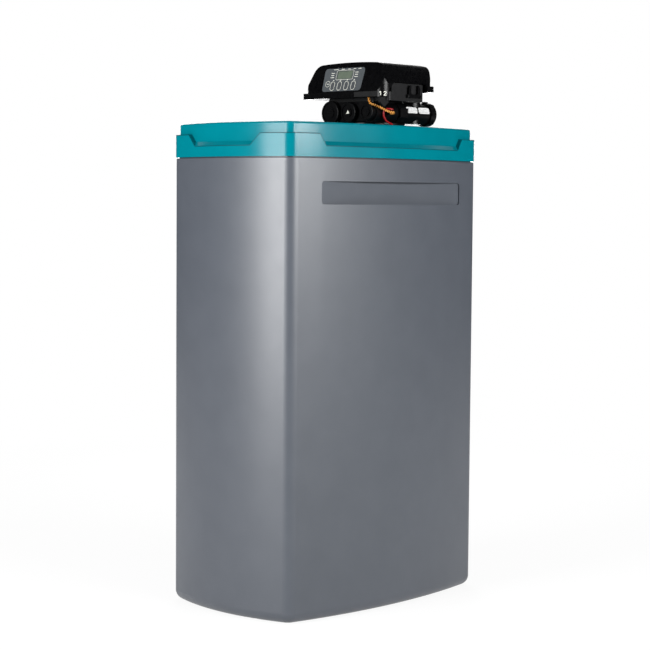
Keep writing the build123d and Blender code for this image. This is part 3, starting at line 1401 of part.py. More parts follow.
# Timer housing: an open tray over the valve with bearings, a motor saddle and a front shelf
shelf_z = manifold_top + shelf_rise
shelf_front_y = tank_y - shelf_front
shelf_head = manifold_top + shelf_top
pod_floor_top = manifold_top + pod_wall
latch_y = tank_y + latch_behind
latch_pin_x = pod_width / 2 + latch_ear_radius + seat_gap
latch_pin_z = manifold_top + latch_pin_rise
socket_z = manifold_top + socket_rise
band_front_y = hood_front_y - hood_rim_reach + rim_gap
with BuildPart() as timer_housing:
    with BuildSketch(Plane.XY.offset(manifold_top)):
        with Locations((0, (pod_front_y + pod_back_y) / 2)):
            RectangleRounded(pod_width, pod_back_y - pod_front_y, pod_corner)
    extrude(amount=pod_height)
    with BuildSketch(Plane.XY.offset(pod_floor_top)):
        with Locations((0, (pod_front_y + pod_back_y) / 2)):
            RectangleRounded(
                pod_width - 2 * pod_wall,
                pod_back_y - pod_front_y - 2 * pod_wall,
                pod_corner - pod_wall,
            )
    extrude(amount=pod_height, mode=Mode.SUBTRACT)
    with BuildSketch(Plane.XY.offset(shelf_head)):
        with Locations((0, pod_front_y)):
            Rectangle(pod_width, 2 * (pod_wall + pod_corner))
    extrude(amount=pod_height, mode=Mode.SUBTRACT)
    # front shelf and the plain band that shows in the hood's rim
    shelf_corner = hood_corner - 2 * hood_wall
    with BuildSketch(Plane.XY.offset(shelf_z)) as shelf:
        with Locations((0, (shelf_front_y + pod_front_y + pod_wall) / 2)):
            Rectangle(pod_width - 2 * pod_wall, pod_front_y + pod_wall - shelf_front_y)
        fillet(shelf.vertices().group_by(Axis.Y)[0], shelf_corner)
    extrude(amount=shelf_head - shelf_z)
    with BuildSketch(Plane.XY.offset(shelf_z + pod_wall)) as trough:
        with Locations((0, (shelf_front_y + pod_front_y + pod_wall) / 2)):
            Rectangle(pod_width - 4 * pod_wall, pod_front_y - shelf_front_y - pod_wall)
        fillet(trough.vertices().group_by(Axis.Y)[0], shelf_corner - pod_wall)
    extrude(amount=shelf_head, mode=Mode.SUBTRACT)
    with BuildSketch(Plane.XY.offset(manifold_top + band_bottom)):
        with Locations(((band_left + band_right) / 2, (band_front_y + shelf_front_y) / 2)):
            Rectangle(band_right - band_left, shelf_front_y - band_front_y)
    extrude(amount=shelf_head - manifold_top - band_bottom)
    # the left part's floor is raised
    step_reach = pod_width / 2 - pod_step
    step_middle = (-(pod_width / 2 + pod_step) / 2, (pod_front_y + pod_back_y) / 2)
    with BuildSketch(Plane.XY.offset(manifold_top)):
        with Locations(step_middle):
            RectangleRounded(step_reach, pod_back_y - pod_front_y, pod_corner)
        with Locations((-pod_step - step_reach / 4, step_middle[1])):
            Rectangle(step_reach / 2, pod_back_y - pod_front_y)
    extrude(amount=shelf_rise + pod_wall)
    with BuildSketch(Plane.XY.offset(manifold_top - overrun)):
        with Locations((step_middle[0] - (pod_wall + overrun) / 2, step_middle[1])):
            Rectangle(step_reach - pod_wall + overrun, pod_back_y - pod_front_y + 2 * overrun)
    extrude(amount=overrun + shelf_rise, mode=Mode.SUBTRACT)
    # bearing posts
    with BuildSketch(Plane.XY.offset(pod_floor_top)):
        with Locations((0, shaft_front_y + post_depth / 2)):
            Rectangle(post_width, post_depth)
        with Locations((0, pod_inner_back + pod_wall / 2)):
            Rectangle(post_width, pod_wall)
    extrude(amount=bearing_head - pod_floor_top)
    # motor saddle
    with BuildSketch(Plane.XY.offset(pod_floor_top)):
        with Locations((motor_x, motor_back_y - motor_gearbox_length - saddle_length / 2)):
            Rectangle(saddle_width, saddle_length)
    extrude(amount=saddle_height)
    with BuildSketch(Plane.XZ.offset(-pod_front_y - pod_wall)):
        with Locations((motor_x, shaft_z)):
            Circle(motor_radius + running_fit)
    extrude(amount=-(motor_back_y - pod_front_y), mode=Mode.SUBTRACT)
    # opening over the valve's deck
    with BuildSketch(Plane.XY.offset(manifold_top - overrun)):
        with Locations(((deck_right - deck_left) / 2, tank_y - (deck_front - deck_back) / 2)):
            Rectangle(
                deck_left + deck_right + 2 * running_fit,
                deck_front + deck_back + 2 * running_fit,
            )
    extrude(amount=overrun + pod_wall, mode=Mode.SUBTRACT)
    with BuildSketch(Plane.XZ.offset(-shaft_front_y)):
        with Locations((0, shaft_z)):
            Circle(shaft_radius + running_fit)
    extrude(amount=-(pod_back_y - shaft_front_y + overrun), mode=Mode.SUBTRACT)
    # ears for the latch, lead guide under the shelf, hole for the power socket
    guide_y = tank_y - guide_forward
    ear_root_x = (pod_width - pod_wall) / 2
    for ear_y in (latch_y - latch_width / 2 - latch_ear - seat_gap, latch_y + latch_width / 2 + seat_gap):
        with BuildSketch(Plane.XZ.offset(-ear_y)):
            with Locations((latch_pin_x, latch_pin_z)):
                Circle(latch_ear_radius)
            with Locations(((ear_root_x + latch_pin_x) / 2, latch_pin_z)):
                Rectangle(latch_pin_x - ear_root_x, 2 * latch_ear_radius)
            with Locations((latch_pin_x, latch_pin_z)):
                Circle(latch_pin_radius + running_fit, mode=Mode.SUBTRACT)
        extrude(amount=-latch_ear)
    with BuildSketch(Plane.YZ.offset(guide_x - guide_width / 2)):
        with BuildLine():
            Polyline(
                (guide_y - guide_length / 2, shelf_z + pod_wall / 2),
                (guide_y - guide_length / 2, shelf_z - guide_flank),
                (guide_y, shelf_z - guide_flank - guide_tip),
                (guide_y + guide_length / 2, shelf_z - guide_flank),
                (guide_y + guide_length / 2, shelf_z + pod_wall / 2),
                close=True,
            )
        make_face()
    extrude(amount=guide_width)
    with BuildSketch(Plane.XZ.offset(-pod_back_y - overrun)):
        with Locations((-socket_offset, socket_z)):
            Circle(socket_radius + running_fit)
    extrude(amount=pod_wall + 2 * overrun, mode=Mode.SUBTRACT)
timer_housing.part.label = "timer_housing"
export_step(timer_housing.part, "parts/timer_housing.step")

# Hood latch: a U-shaped flap that swings out on a pin between two ears
with BuildPart() as hood_latch:
    latch_foot = latch_pin_z - latch_pin_radius - latch_thickness / 2
    with BuildSketch(Plane.YZ.offset(latch_pin_x - latch_thickness / 2)):
        with Locations((latch_y, latch_foot + latch_height / 2)):
            RectangleRounded(latch_width, latch_height, latch_arm)
        with Locations((latch_y, latch_foot + latch_arm + latch_height / 2)):
            RectangleRounded(latch_width - 2 * latch_arm, latch_height, latch_arm / 2, mode=Mode.SUBTRACT)
    extrude(amount=latch_thickness)
    with BuildSketch(Plane.XZ.offset(-latch_y + latch_width / 2 + latch_ear)):
        with Locations((latch_pin_x, latch_pin_z)):
            Circle(latch_pin_radius)
    extrude(amount=-(latch_width + 2 * latch_ear))
hood_latch.part.label = "hood_latch"
export_step(hood_latch.part, "parts/hood_latch.step")

# Power socket in the housing's rear wall
with BuildPart() as power_socket:
    with BuildSketch(Plane.XZ.offset(-pod_back_y)):
        with Locations((-socket_offset, socket_z)):
            Circle(socket_flange_radius)
    extrude(amount=-socket_flange)
    with BuildSketch(Plane.XZ.offset(-pod_back_y)):
        with Locations((-socket_offset, socket_z)):
            Circle(socket_radius)
    extrude(amount=socket_depth)
    with BuildSketch(Plane.XZ.offset(-pod_back_y - socket_flange)):
        with Locations((-socket_offset, socket_z)):
            Circle(socket_bore)
    extrude(amount=socket_depth, mode=Mode.SUBTRACT)
power_socket.part.label = "power_socket"
export_step(power_socket.part, "parts/power_socket.step")

# Display panel: a tilted plate with a window and four button holes, on two legs
button_places = [(button_first + button_pitch * place, button_y) for place in range(button_count)]
with BuildPart() as display_panel:
    extrude(panel_outline(panel_plane, panel_border, panel_gap), amount=-panel_thickness)
    for side in (-1, 1):
        leg_x = side * leg_spread - (panel_left - panel_right) / 2
        leg_foot = shelf_z + pod_wall
        leg_front = shelf_front_y + pod_wall + seat_gap
        leg_knee = shelf_head
        leg_head = hood_rim_top + panel_top / 2
        with BuildSketch(Plane.YZ.offset(leg_x - leg_width / 2)):
            with BuildLine():
                Polyline(
                    (leg_front, leg_foot),
                    (leg_front + leg_depth, leg_foot),
                    (leg_front + leg_depth, leg_knee),
                    (face_y(leg_head, panel_sink + panel_thickness), leg_head),
                    (face_y(leg_knee + leg_width, panel_sink + panel_thickness / 2), leg_knee + leg_width),
                    (leg_front, leg_knee),
                    close=True,
                )
            make_face()
        extrude(amount=leg_width)
    with BuildSketch(panel_plane):
        with Locations((screen_x, screen_y)):
            Rectangle(screen_width + 2 * screen_gap, screen_height + 2 * screen_gap)
        with Locations(*button_places):
            SlotOverall(button_height + 2 * button_gap, button_width + 2 * button_gap, rotation=quarter_turn)
    extrude(amount=-(panel_thickness + overrun), mode=Mode.SUBTRACT)
display_panel.part.label = "display_panel"
export_step(display_panel.part, "parts/display_panel.step")

# Overlay: the thin sheet on the panel's face
with BuildPart() as panel_overlay:
    extrude(panel_outline(panel_plane, 0, 0), amount=overlay_thickness)
    with BuildSketch(panel_plane):
        with Locations((screen_x, screen_y)):
            Rectangle(screen_width + 2 * screen_gap, screen_height + 2 * screen_gap)
        with Locations(*button_places):
            SlotOverall(button_height + 2 * button_gap, button_width + 2 * button_gap, rotation=quarter_turn)
    extrude(amount=overlay_thickness, mode=Mode.SUBTRACT)
panel_overlay.part.label = "panel_overlay"
export_step(panel_overlay.part, "parts/panel_overlay.step")

with BuildPart() as display_screen:
    with BuildSketch(panel_plane.offset(-screen_sink)):
        with Locations((screen_x, screen_y)):
            Rectangle(screen_width, screen_height)
    extrude(amount=-(panel_thickness - screen_sink))
display_screen.part.label = "display_screen"
export_step(display_screen.part, "parts/display_screen.step")

for number, (button_x, button_v) in enumerate(button_places, start=1):
    with BuildPart() as panel_button:
        with BuildSketch(panel_plane.offset(button_proud)):
            with Locations((button_x, button_v)):
                SlotOverall(button_height, button_width, rotation=quarter_turn)
        extrude(amount=-(button_proud + panel_thickness + button_gap))
        fillet(panel_button.faces().sort_by(face_axis)[-1].edges(), button_proud / 2)
        with BuildSketch(panel_plane.offset(-panel_thickness - button_gap)):
            with Locations((button_x, button_v)):
                SlotOverall(
                    button_height + 2 * (button_flange + button_gap),
                    button_width + 2 * (button_flange + button_gap),
                    rotation=quarter_turn,
                )
        extrude(amount=-button_flange)
        with BuildSketch(panel_plane.offset(-panel_thickness - button_gap - button_flange)):
            with Locations((button_x, button_v)):
                Circle(button_stem_radius)
        stem = board_depth - panel_thickness - button_flange - button_travel - 2 * button_gap
        extrude(amount=-stem)
    panel_button.part.label = f"panel_button_{number}"
    export_step(panel_button.part, f"parts/panel_button_{number}.step")

with BuildPart() as circuit_board:
    board_x = (panel_right - panel_left) / 2
    board_width = 2 * (leg_spread - seat_gap) - leg_width
    with BuildSketch(panel_plane.offset(-board_depth)):
        with Locations((board_x, board_height / 2 + panel_bottom + panel_corner / 2)):
            Rectangle(board_width, board_height)
    extrude(amount=-board_thickness)
    stand_x = board_width / 2 - 2 * leg_width
    with BuildSketch(panel_plane.offset(-panel_thickness)):
        with Locations((board_x - stand_x, screen_y), (board_x + stand_x, screen_y)):
            Circle(button_stem_radius)
    extrude(amount=-(board_depth - panel_thickness))
    with BuildSketch(panel_plane.offset(-board_depth - board_thickness)):
        with Locations((board_x + stand_x / 2, screen_y)):
            Rectangle(3 * leg_width, 2 * leg_width)
    extrude(amount=-board_thickness)
circuit_board.part.label = "circuit_board"
export_step(circuit_board.part, "parts/circuit_board.step")

# Hood: a thin shell with a leaning front face, a rim, a window and open sides
rim_front_y = hood_front_y - hood_rim_reach
rim_back_y = tank_y - hood_notch_front - hood_rim_height
lip_back_y = hood_back_y + hood_rim_reach
rim_width = 2 * (hood_half_width + hood_rim_reach)
with BuildPart() as hood:
    add(hood_form(0))
    with BuildSketch(Plane.XY.offset(hood_bottom)) as rim:
        with Locations((0, (rim_front_y + rim_back_y) / 2)):
            Rectangle(rim_width, rim_back_y - rim_front_y)
        fillet(rim.vertices().group_by(Axis.Y)[0].sort_by(Axis.X)[-1], hood_corner)
        fillet(rim.vertices().group_by(Axis.Y)[0].sort_by(Axis.X)[0], rim_left_corner)
    extrude(amount=hood_rim_height)
    with BuildSketch(Plane.XY.offset(manifold_top + hood_back_rise)) as lip:
        with Locations((0, (pod_back_y + lip_back_y) / 2)):
            Rectangle(rim_width, lip_back_y - pod_back_y)
        fillet(lip.vertices().group_by(Axis.Y)[-1], hood_corner)
    extrude(amount=hood_rim_height)
    add(hood_form(hood_wall), mode=Mode.SUBTRACT)
    # what lies under the hood's lower edge: open beside the housing and higher at the rear
    with BuildSketch(Plane.YZ.offset(-hood_half_width - overrun)):
        with BuildLine():
            Polyline(
                (tank_y - hood_notch_front - hood_side_rise + hood_front_drop, hood_bottom - 3 * overrun),
                (tank_y - hood_notch_front - hood_side_rise + hood_front_drop, hood_bottom),
                (tank_y - hood_notch_front, hood_side_edge),
                (pod_back_y + rim_gap, hood_side_edge),
                (pod_back_y + rim_gap, manifold_top + hood_back_rise),
                (lip_back_y + overrun, manifold_top + hood_back_rise),
                (lip_back_y + overrun, hood_bottom - 3 * overrun),
                close=True,
            )
        make_face()
    extrude(amount=2 * (hood_half_width + overrun), mode=Mode.SUBTRACT)
    with BuildSketch(Plane.XY.offset(hood_bottom - 3 * overrun)):
        with Locations((0, tank_y)):
            Rectangle(2 * rim_width, 2 * rim_width)
    extrude(amount=3 * overrun, mode=Mode.SUBTRACT)
    window = panel_outline(face_plane.offset(overrun), panel_border + panel_gap, 0)
    extrude(window, amount=-(2 * overrun), mode=Mode.SUBTRACT)
    # behind the rim below the window, so that the hood lifts past the panel
    cavity_left = panel_left + panel_lean + panel_border + panel_gap
    cavity_right = panel_right + panel_border + panel_gap
    with BuildSketch(Plane.XY.offset(hood_bottom - overrun)):
        with Locations(((cavity_right - cavity_left) / 2, hood_front_y - rim_cavity + overrun / 2)):
            Rectangle(cavity_left + cavity_right, overrun)
    extrude(amount=overrun + hood_rim_height, mode=Mode.SUBTRACT)
    # gap in the rim for the housing's plain band
    with BuildSketch(Plane.XY.offset(hood_bottom - overrun)):
        with Locations(((band_left + band_right) / 2, hood_front_y)):
            Rectangle(band_right - band_left + 2 * rim_gap, 2 * overrun)
    extrude(amount=overrun + shelf_head - hood_bottom + rim_gap, mode=Mode.SUBTRACT)
hood.part.label = "hood"
export_step(hood.part, "parts/hood.step")

# Drain elbow on the valve's left side
with BuildPart() as drain_elbow:
    with BuildSketch(Plane.YZ.offset(-boss_face_x + probe_length / 2)):
        with Locations((drain_y, port_z)):
            Circle(drain_radius - spider_width)
    extrude(amount=-(probe_length / 2 + spider_gap))
    with BuildSketch(Plane.YZ.offset(-boss_face_x)):
        with Locations((drain_y, port_z)):
            Circle(drain_radius)
    extrude(amount=-(drain_radius + spider_gap))
    elbow_x = -boss_face_x - spider_gap / 2 - drain_radius
    with BuildSketch(Plane.XZ.offset(-drain_y + drain_radius)):
        with Locations((elbow_x, port_z)):
            Circle(drain_radius)
    extrude(amount=-(2 * drain_radius))
    stem_plane = Plane(origin=(elbow_x, drain_y, port_z))
    add(barbed_stem(stem_plane, drain_bore + strainer_wall / 2, drain_radius + drain_reach))
    with BuildSketch(Plane.XZ.offset(-drain_y)):
        with Locations((elbow_x, port_z)):
            Circle(drain_bore - strainer_wall / 2)
    extrude(amount=-(drain_radius + drain_reach + overrun), mode=Mode.SUBTRACT)
    with BuildSketch(Plane.YZ.offset(-boss_face_x + overrun)):
        with Locations((drain_y, port_z)):
            Circle(drain_bore - strainer_wall / 2)
    extrude(amount=-(overrun + spider_gap + drain_radius), mode=Mode.SUBTRACT)
drain_elbow.part.label = "drain_elbow"
export_step(drain_elbow.part, "parts/drain_elbow.step")

# Brine fitting: an elbow that points down, with its tube nut
with BuildPart() as brine_fitting:
    with BuildSketch(Plane.YZ.offset(-boss_face_x + probe_length / 2)):
        with Locations((brine_hole_y, brine_z)):
            Circle(fitting_radius - strainer_wall / 2)
    extrude(amount=-(probe_length / 2 + fitting_reach))
    with BuildSketch(Plane.XY.offset(brine_z + fitting_radius)):
        with Locations((brine_hole_x, brine_hole_y)):
            Circle(fitting_radius)
    extrude(amount=-(2 * fitting_radius))
    fillet(brine_fitting.edges().group_by(Axis.Z)[-1], strainer_wall / 2)
    with BuildSketch(Plane.XY.offset(brine_z - fitting_radius)):
        with Locations((brine_hole_x, brine_hole_y)):
            RegularPolygon(fitting_nut_radius, nut_sides)
    extrude(amount=-fitting_nut_length)
    with BuildSketch(Plane.XY.offset(brine_z - fitting_radius - fitting_nut_length)):
        with Locations((brine_hole_x, brine_hole_y)):
            Circle(tube_radius + running_fit)
    extrude(amount=fitting_nut_length, mode=Mode.SUBTRACT)
    with BuildSketch(Plane.XY.offset(brine_z - fitting_radius)):
        with Locations((brine_hole_x, brine_hole_y)):
            Circle(fitting_bore)
    extrude(amount=fitting_radius, mode=Mode.SUBTRACT)
    with BuildSketch(Plane.YZ.offset(-boss_face_x + probe_length)):
        with Locations((brine_hole_y, brine_z)):
            Circle(fitting_bore)
    extrude(amount=-(probe_length + fitting_reach), mode=Mode.SUBTRACT)
brine_fitting.part.label = "brine_fitting"
export_step(brine_fitting.part, "parts/brine_fitting.step")


def bend_radii(points):
    """The largest tangent arc that the two runs at each corner leave room for."""
    radii = []
    for before, corner, after in zip(points, points[1:], points[2:]):
        first = Vector(corner) - Vector(before)
        second = Vector(after) - Vector(corner)
        turn = math.radians(first.get_angle(second))
        radii.append(bend_share * min(first.length, second.length) / math.tan(turn / 2))
    return radii


def lead(points, radius, name):
    """A round lead along straight runs joined by arcs."""
    radii = bend_radii(points)
    print(name, "bend radii", [round(value, 1) for value in radii])
    with BuildPart() as run:
        with BuildLine() as route:
            FilletPolyline(*points, radius=radii)
        path = route.wires()[0]
        with BuildSketch(Plane(origin=path @ 0, z_dir=path % 0)):
            Circle(radius)
        sweep(path=path)
    length = path.length
    print(name, "length", round(length, 1), "volume share", run.part.volume / (math.pi * radius**2 * length))
    return run.part


# Brine tube: from the fitting down through the cover and across into the brine well
tube_start = brine_z - fitting_radius - seat_gap
tube_end = valve_head + seat_gap
tube_points = [
    (brine_hole_x, brine_hole_y, tube_start),
    (brine_hole_x, brine_hole_y, 912),
    (-84, 71, 885),
    (-86.5, 34, 880),
    (-88.5, -2, 884),
    (-88.8, -32.8, 862),
    (tube_hole_x, tube_hole_y, 819),
    (tube_hole_x, tube_hole_y, tube_end),
]
brine_tube = lead(tube_points, tube_radius, "brine_tube")
brine_tube.label = "brine_tube"
export_step(brine_tube, "parts/brine_tube.step")

# Bypass: two barrels with towers for the rotors, a cross tube, and spigots for the pipes
bypass_front_y = manifold_back_y + coupling_gap
bypass_back_y = tank_y + bypass_reach
rotor_y = tank_y + rotor_behind
tower_foot = port_z - barrel_radius
tower_head = port_z + barrel_radius
spigot_front_y = bypass_back_y - spigot_step
with BuildPart() as bypass_body:
    with BuildSketch(Plane.XZ.offset(-bypass_front_y)):
        with Locations((-port_spread, port_z), (port_spread, port_z)):
            Circle(barrel_radius)
    extrude(amount=-(spigot_front_y - bypass_front_y))
    with BuildSketch(Plane.XZ.offset(-spigot_front_y)):
        with Locations((-port_spread, port_z), (port_spread, port_z)):
            Circle(spigot_radius)
    extrude(amount=-(bypass_back_y - spigot_front_y))
    with BuildSketch(Plane.XY.offset(tower_foot)):
        with Locations((-port_spread, rotor_y), (port_spread, rotor_y)):
            Circle(boss_tower_radius)
    extrude(amount=tower_head - tower_foot)
    with BuildSketch(Plane.YZ.offset(-port_spread)):
        with Locations((rotor_y, port_z)):
            Circle(cross_tube_radius)
    extrude(amount=2 * port_spread)
    with BuildSketch(Plane.XZ.offset(-bypass_front_y + overrun)):
        with Locations((-port_spread, port_z), (port_spread, port_z)):
            Circle(rotor_port)
    extrude(amount=-(bypass_back_y - bypass_front_y + 2 * overrun), mode=Mode.SUBTRACT)
    with BuildSketch(Plane.XZ.offset(-bypass_back_y - overrun)):
        with Locations((-port_spread, port_z), (port_spread, port_z)):
            Circle(pipe_bore)
    extrude(amount=pipe_depth - spigot_step + overrun, mode=Mode.SUBTRACT)
    with BuildSketch(Plane.YZ.offset(-port_spread)):
        with Locations((rotor_y, port_z)):
            Circle(cross_tube_bore)
    extrude(amount=2 * port_spread, mode=Mode.SUBTRACT)
    with BuildSketch(Plane.XY.offset(tower_foot + handle_plate)):
        with Locations((-port_spread, rotor_y), (port_spread, rotor_y)):
            Circle(rotor_radius + running_fit)
    extrude(amount=tower_head, mode=Mode.SUBTRACT)
bypass_body.part.label = "bypass_body"
export_step(bypass_body.part, "parts/bypass_body.step")

for side, rotor_name in ((1, "inlet_rotor"), (-1, "outlet_rotor")):
    rotor_x = side * port_spread
    with BuildPart() as rotor:
        with BuildSketch(Plane.XY.offset(tower_foot + handle_plate + seat_gap)):
            with Locations((rotor_x, rotor_y)):
                Circle(rotor_radius)
        extrude(amount=tower_head - tower_foot - handle_plate)
        with BuildSketch(Plane.XY.offset(tower_head + seat_gap)):
            with Locations((rotor_x, rotor_y)):
                Circle(handle_radius)
        extrude(amount=handle_plate)
        with BuildSketch(Plane.XY.offset(tower_head + seat_gap + handle_plate)):
            with Locations((rotor_x, rotor_y)):
                SlotOverall(2 * handle_radius - rotor_port / 2, handle_ridge_width, rotation=quarter_turn)
        extrude(amount=handle_ridge)
        fillet(rotor.faces().sort_by(Axis.Z)[-1].edges(), handle_ridge / 3)
        with BuildSketch(Plane.XZ.offset(-rotor_y + rotor_radius + overrun)):
            with Locations((rotor_x, port_z)):
                Circle(rotor_port)
        extrude(amount=-2 * (rotor_radius + overrun), mode=Mode.SUBTRACT)
    rotor.part.label = rotor_name
    export_step(rotor.part, f"parts/{rotor_name}.step")

# Lugged nuts on the bypass's spigots
with BuildPart() as pipe_nuts:
    for side in (-1, 1):
        nut_x = side * port_spread
        with BuildSketch(Plane.XZ.offset(-spigot_front_y - seat_gap)):
            with Locations((nut_x, port_z)):
                Circle(nut_radius)
        extrude(amount=-nut_length)
    fillet(pipe_nuts.edges().group_by(Axis.Y)[-1], nut_lug_rise)
    for side in (-1, 1):
        nut_x = side * port_spread
        with BuildSketch(Plane.XZ.offset(-spigot_front_y - seat_gap)):
            with Locations(Location((nut_x, port_z, 0))):
                with PolarLocations(nut_radius, nut_lugs):
                    Rectangle(2 * nut_lug_rise, nut_lug_width)
        extrude(amount=-(nut_length - 2 * nut_lug_rise))
        with BuildSketch(Plane.XZ.offset(-spigot_front_y)):
            with Locations((nut_x, port_z)):
                Circle(spigot_radius + running_fit)
        extrude(amount=-(bypass_back_y - spigot_front_y + seat_gap), mode=Mode.SUBTRACT)
        with BuildSketch(Plane.XZ.offset(-spigot_front_y)):
            with Locations((nut_x, port_z)):
                Circle(nut_opening)
        extrude(amount=-2 * nut_length, mode=Mode.SUBTRACT)
pipe_nuts.part.label = "pipe_nuts"
export_step(pipe_nuts.part, "parts/pipe_nuts.step")

# Coupling clips over the joint between valve and bypass, with a raised pad outside
clip_start_y = bypass_front_y + clip_lap - clip_length
with BuildPart() as coupling_clips:
    for side in (-1, 1):
        with BuildSketch(Plane.XZ.offset(-clip_start_y)):
            with Locations((side * port_spread, port_z)):
                Circle(barrel_radius + running_fit + clip_band)
            with Locations((side * (manifold_width / 2 + seat_gap - 2 * barrel_radius), port_z)):
                Rectangle(4 * barrel_radius, 4 * barrel_radius, mode=Mode.SUBTRACT)
            with Locations((side * (port_spread + barrel_radius + clip_pad_rise / 2), port_z)):
                Rectangle(clip_pad_rise + clip_band, clip_pad_height)
            with Locations((side * port_spread, port_z)):
                Circle(barrel_radius + running_fit, mode=Mode.SUBTRACT)
        extrude(amount=-clip_length)
coupling_clips.part.label = "coupling_clips"
export_step(coupling_clips.part, "parts/coupling_clips.step")

# Blank white plates on the outer side of each bypass barrel
label_start = bypass_front_y + label_gap / 2
with BuildPart() as label_plates:
    for side in (-1, 1):
        for place in range(2):
            look = math.radians(label_tilt)
            outward = (side * math.cos(look), 0, math.sin(look))
            label_middle = label_start + label_length / 2 + place * (label_length + label_gap)
            reach = barrel_radius + label_thickness
            label_plane = Plane(
                origin=(side * port_spread + reach * outward[0], label_middle, port_z + reach * outward[2]),
                x_dir=(0, 1, 0),
                z_dir=outward,
            )
            with BuildSketch(label_plane):
                RectangleRounded(label_length, label_height, label_height / 3)
            extrude(amount=-label_thickness)
label_plates.part.label = "label_plates"
export_step(label_plates.part, "parts/label_plates.step")

# Leads: the twisted pair from the housing to the sensor plug, and the red lead below it
tan_points = [
    (60, 51.5, shelf_z - seat_gap),
    (60, 51.5, 978),
    (68, 60, 974.5),
    (76, 71, 969),
    (83, 79, 963),
    (89, 84.5, 960.5),
    (91.5, 90, 959.5),
    (88.3, 94, 959),
    (80.3, 94, 959),
]
tan_lead = lead(tan_points, tan_lead_radius, "tan_lead")
tan_lead.label = "tan_lead"
export_step(tan_lead, "parts/tan_lead.step")

red_points = [
    (80.3, 94, 965.5),
    (86, 94, 965.5),
    (88.5, 90.5, 966.3),
    (85.5, 85.5, 967.3),
    (80, 80.5, 967),
    (76, 78, 962),
    (75, 79.5, 952),
    (75.5, 86, 943.5),
    (75, 97, 939.5),
    (72.8, 110.5, 937),
    (63.1, 113.1, 937),
]
red_lead = lead(red_points, red_lead_radius, "red_lead")
red_lead.label = "red_lead"
export_step(red_lead, "parts/red_lead.step")
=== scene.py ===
import math

import bmesh
import bpy
import numpy as np
from mathutils import Matrix, Vector


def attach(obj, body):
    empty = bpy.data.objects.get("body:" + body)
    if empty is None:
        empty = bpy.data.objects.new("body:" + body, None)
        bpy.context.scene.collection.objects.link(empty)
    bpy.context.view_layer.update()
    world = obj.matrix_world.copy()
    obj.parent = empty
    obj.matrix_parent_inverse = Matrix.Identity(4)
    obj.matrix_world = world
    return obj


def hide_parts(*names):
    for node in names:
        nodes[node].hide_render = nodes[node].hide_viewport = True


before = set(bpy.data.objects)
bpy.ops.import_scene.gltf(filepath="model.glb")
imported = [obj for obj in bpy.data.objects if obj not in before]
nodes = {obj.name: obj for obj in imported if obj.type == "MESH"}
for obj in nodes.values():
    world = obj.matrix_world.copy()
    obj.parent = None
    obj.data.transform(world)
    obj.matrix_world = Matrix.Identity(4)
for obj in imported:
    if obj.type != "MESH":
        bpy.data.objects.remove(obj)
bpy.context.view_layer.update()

mm = 0.001               # sizes below are in millimetres and become metres through this
scene = bpy.context.scene
scene.view_settings.view_transform = "Standard"

# Camera
cameraLook = {
    "place": (2531.5, -2632.3, 787.6),
    "azimuth": 43.883,       # degrees round from the front, towards the right side
    "pitch": -3.920,         # below the horizon
    "roll": 0.435,
    "lens": 101.64,
    "sensor": 36.0,
    "shift": -2.0 / 650.0,   # the photograph's middle stands two of its 650 pixels to the side
    "reach": 100.0,          # metres that the camera sees
}


def addObject(name, data):
    made = bpy.data.objects.new(name, data)
    scene.collection.objects.link(made)
    return made


def plainMesh(name, points, faces):
    mesh = bpy.data.meshes.new(name)
    mesh.from_pydata(points, [], faces)
    return mesh


def newMaterial(name):
    material = bpy.data.materials.new(name)
    material.use_nodes = True
    return material, material.node_tree, material.node_tree.nodes["Principled BSDF"]


def setInputs(node, values):
    for socket, value in values.items():
        node.inputs[socket].default_value = value
    return node


def addNode(tree, kind, values=None, **settings):
    node = tree.nodes.new("ShaderNode" + kind)
    for setting, value in settings.items():
        setattr(node, setting, value)
    return setInputs(node, values or {})


def makeCamera(look):
    azimuth, pitch, roll = (math.radians(look[part]) for part in ("azimuth", "pitch", "roll"))
    ahead = Vector((-math.sin(azimuth), math.cos(azimuth), 0.0))
    right = Vector((math.cos(azimuth), math.sin(azimuth), 0.0))
    upward = Vector((0.0, 0.0, 1.0))
    forward = ahead * math.cos(pitch) + upward * math.sin(pitch)
    top = upward * math.cos(pitch) - ahead * math.sin(pitch)
    # the roll turns the right and the top direction about the forward one
    rolledRight = right * math.cos(roll) + top * math.sin(roll)
    rolledTop = top * math.cos(roll) - right * math.sin(roll)
    data = bpy.data.cameras.new("camera")
    data.lens = look["lens"]
    data.sensor_width = look["sensor"]
    data.shift_x = look["shift"]
    data.clip_end = look["reach"]
    camera = addObject("camera", data)
    turn = Matrix((rolledRight, rolledTop, -forward)).transposed().to_4x4()
    camera.matrix_world = Matrix.Translation(Vector(look["place"]) * mm) @ turn
    scene.camera = camera


# Studio: tall soft boxes between dark screens, a pale floor and a white surround, in metres and watts
studioLook = {
    "leftAzimuth": -4.0, "leftPower": 90.0, "leftWidth": 0.88,
    "rightAzimuth": 91.0, "rightPower": 78.0, "rightWidth": 0.42,
    "backAzimuth": 225.0, "backPower": 46.0, "backWidth": 1.2,
    "boxDistance": 2.4, "boxHeight": 1.6, "boxCentre": 1.15,
    "surround": 0.36,        # how brightly the surround lights what is not gloss
    "floorTint": (0.86, 0.86, 0.86), "floorRoughness": 0.9,
    "floorGlow": 0.88,       # share of plain white in the floor up to glowNear, and all of it from glowFar
    "glowNear": 0.6, "glowFar": 2.4,
    "floorSize": 60.0,
    "screens": [(-120.0, -22.0), (14.0, 92.0), (130.0, 200.0)],   # azimuths that each dark screen spans
    "screenDistance": 4.4, "screenHeight": 3.6, "screenSteps": 24,
    "clothTint": (0.015, 0.015, 0.015),
    "canopyHeight": 3.4, "canopySize": 7.2,
}


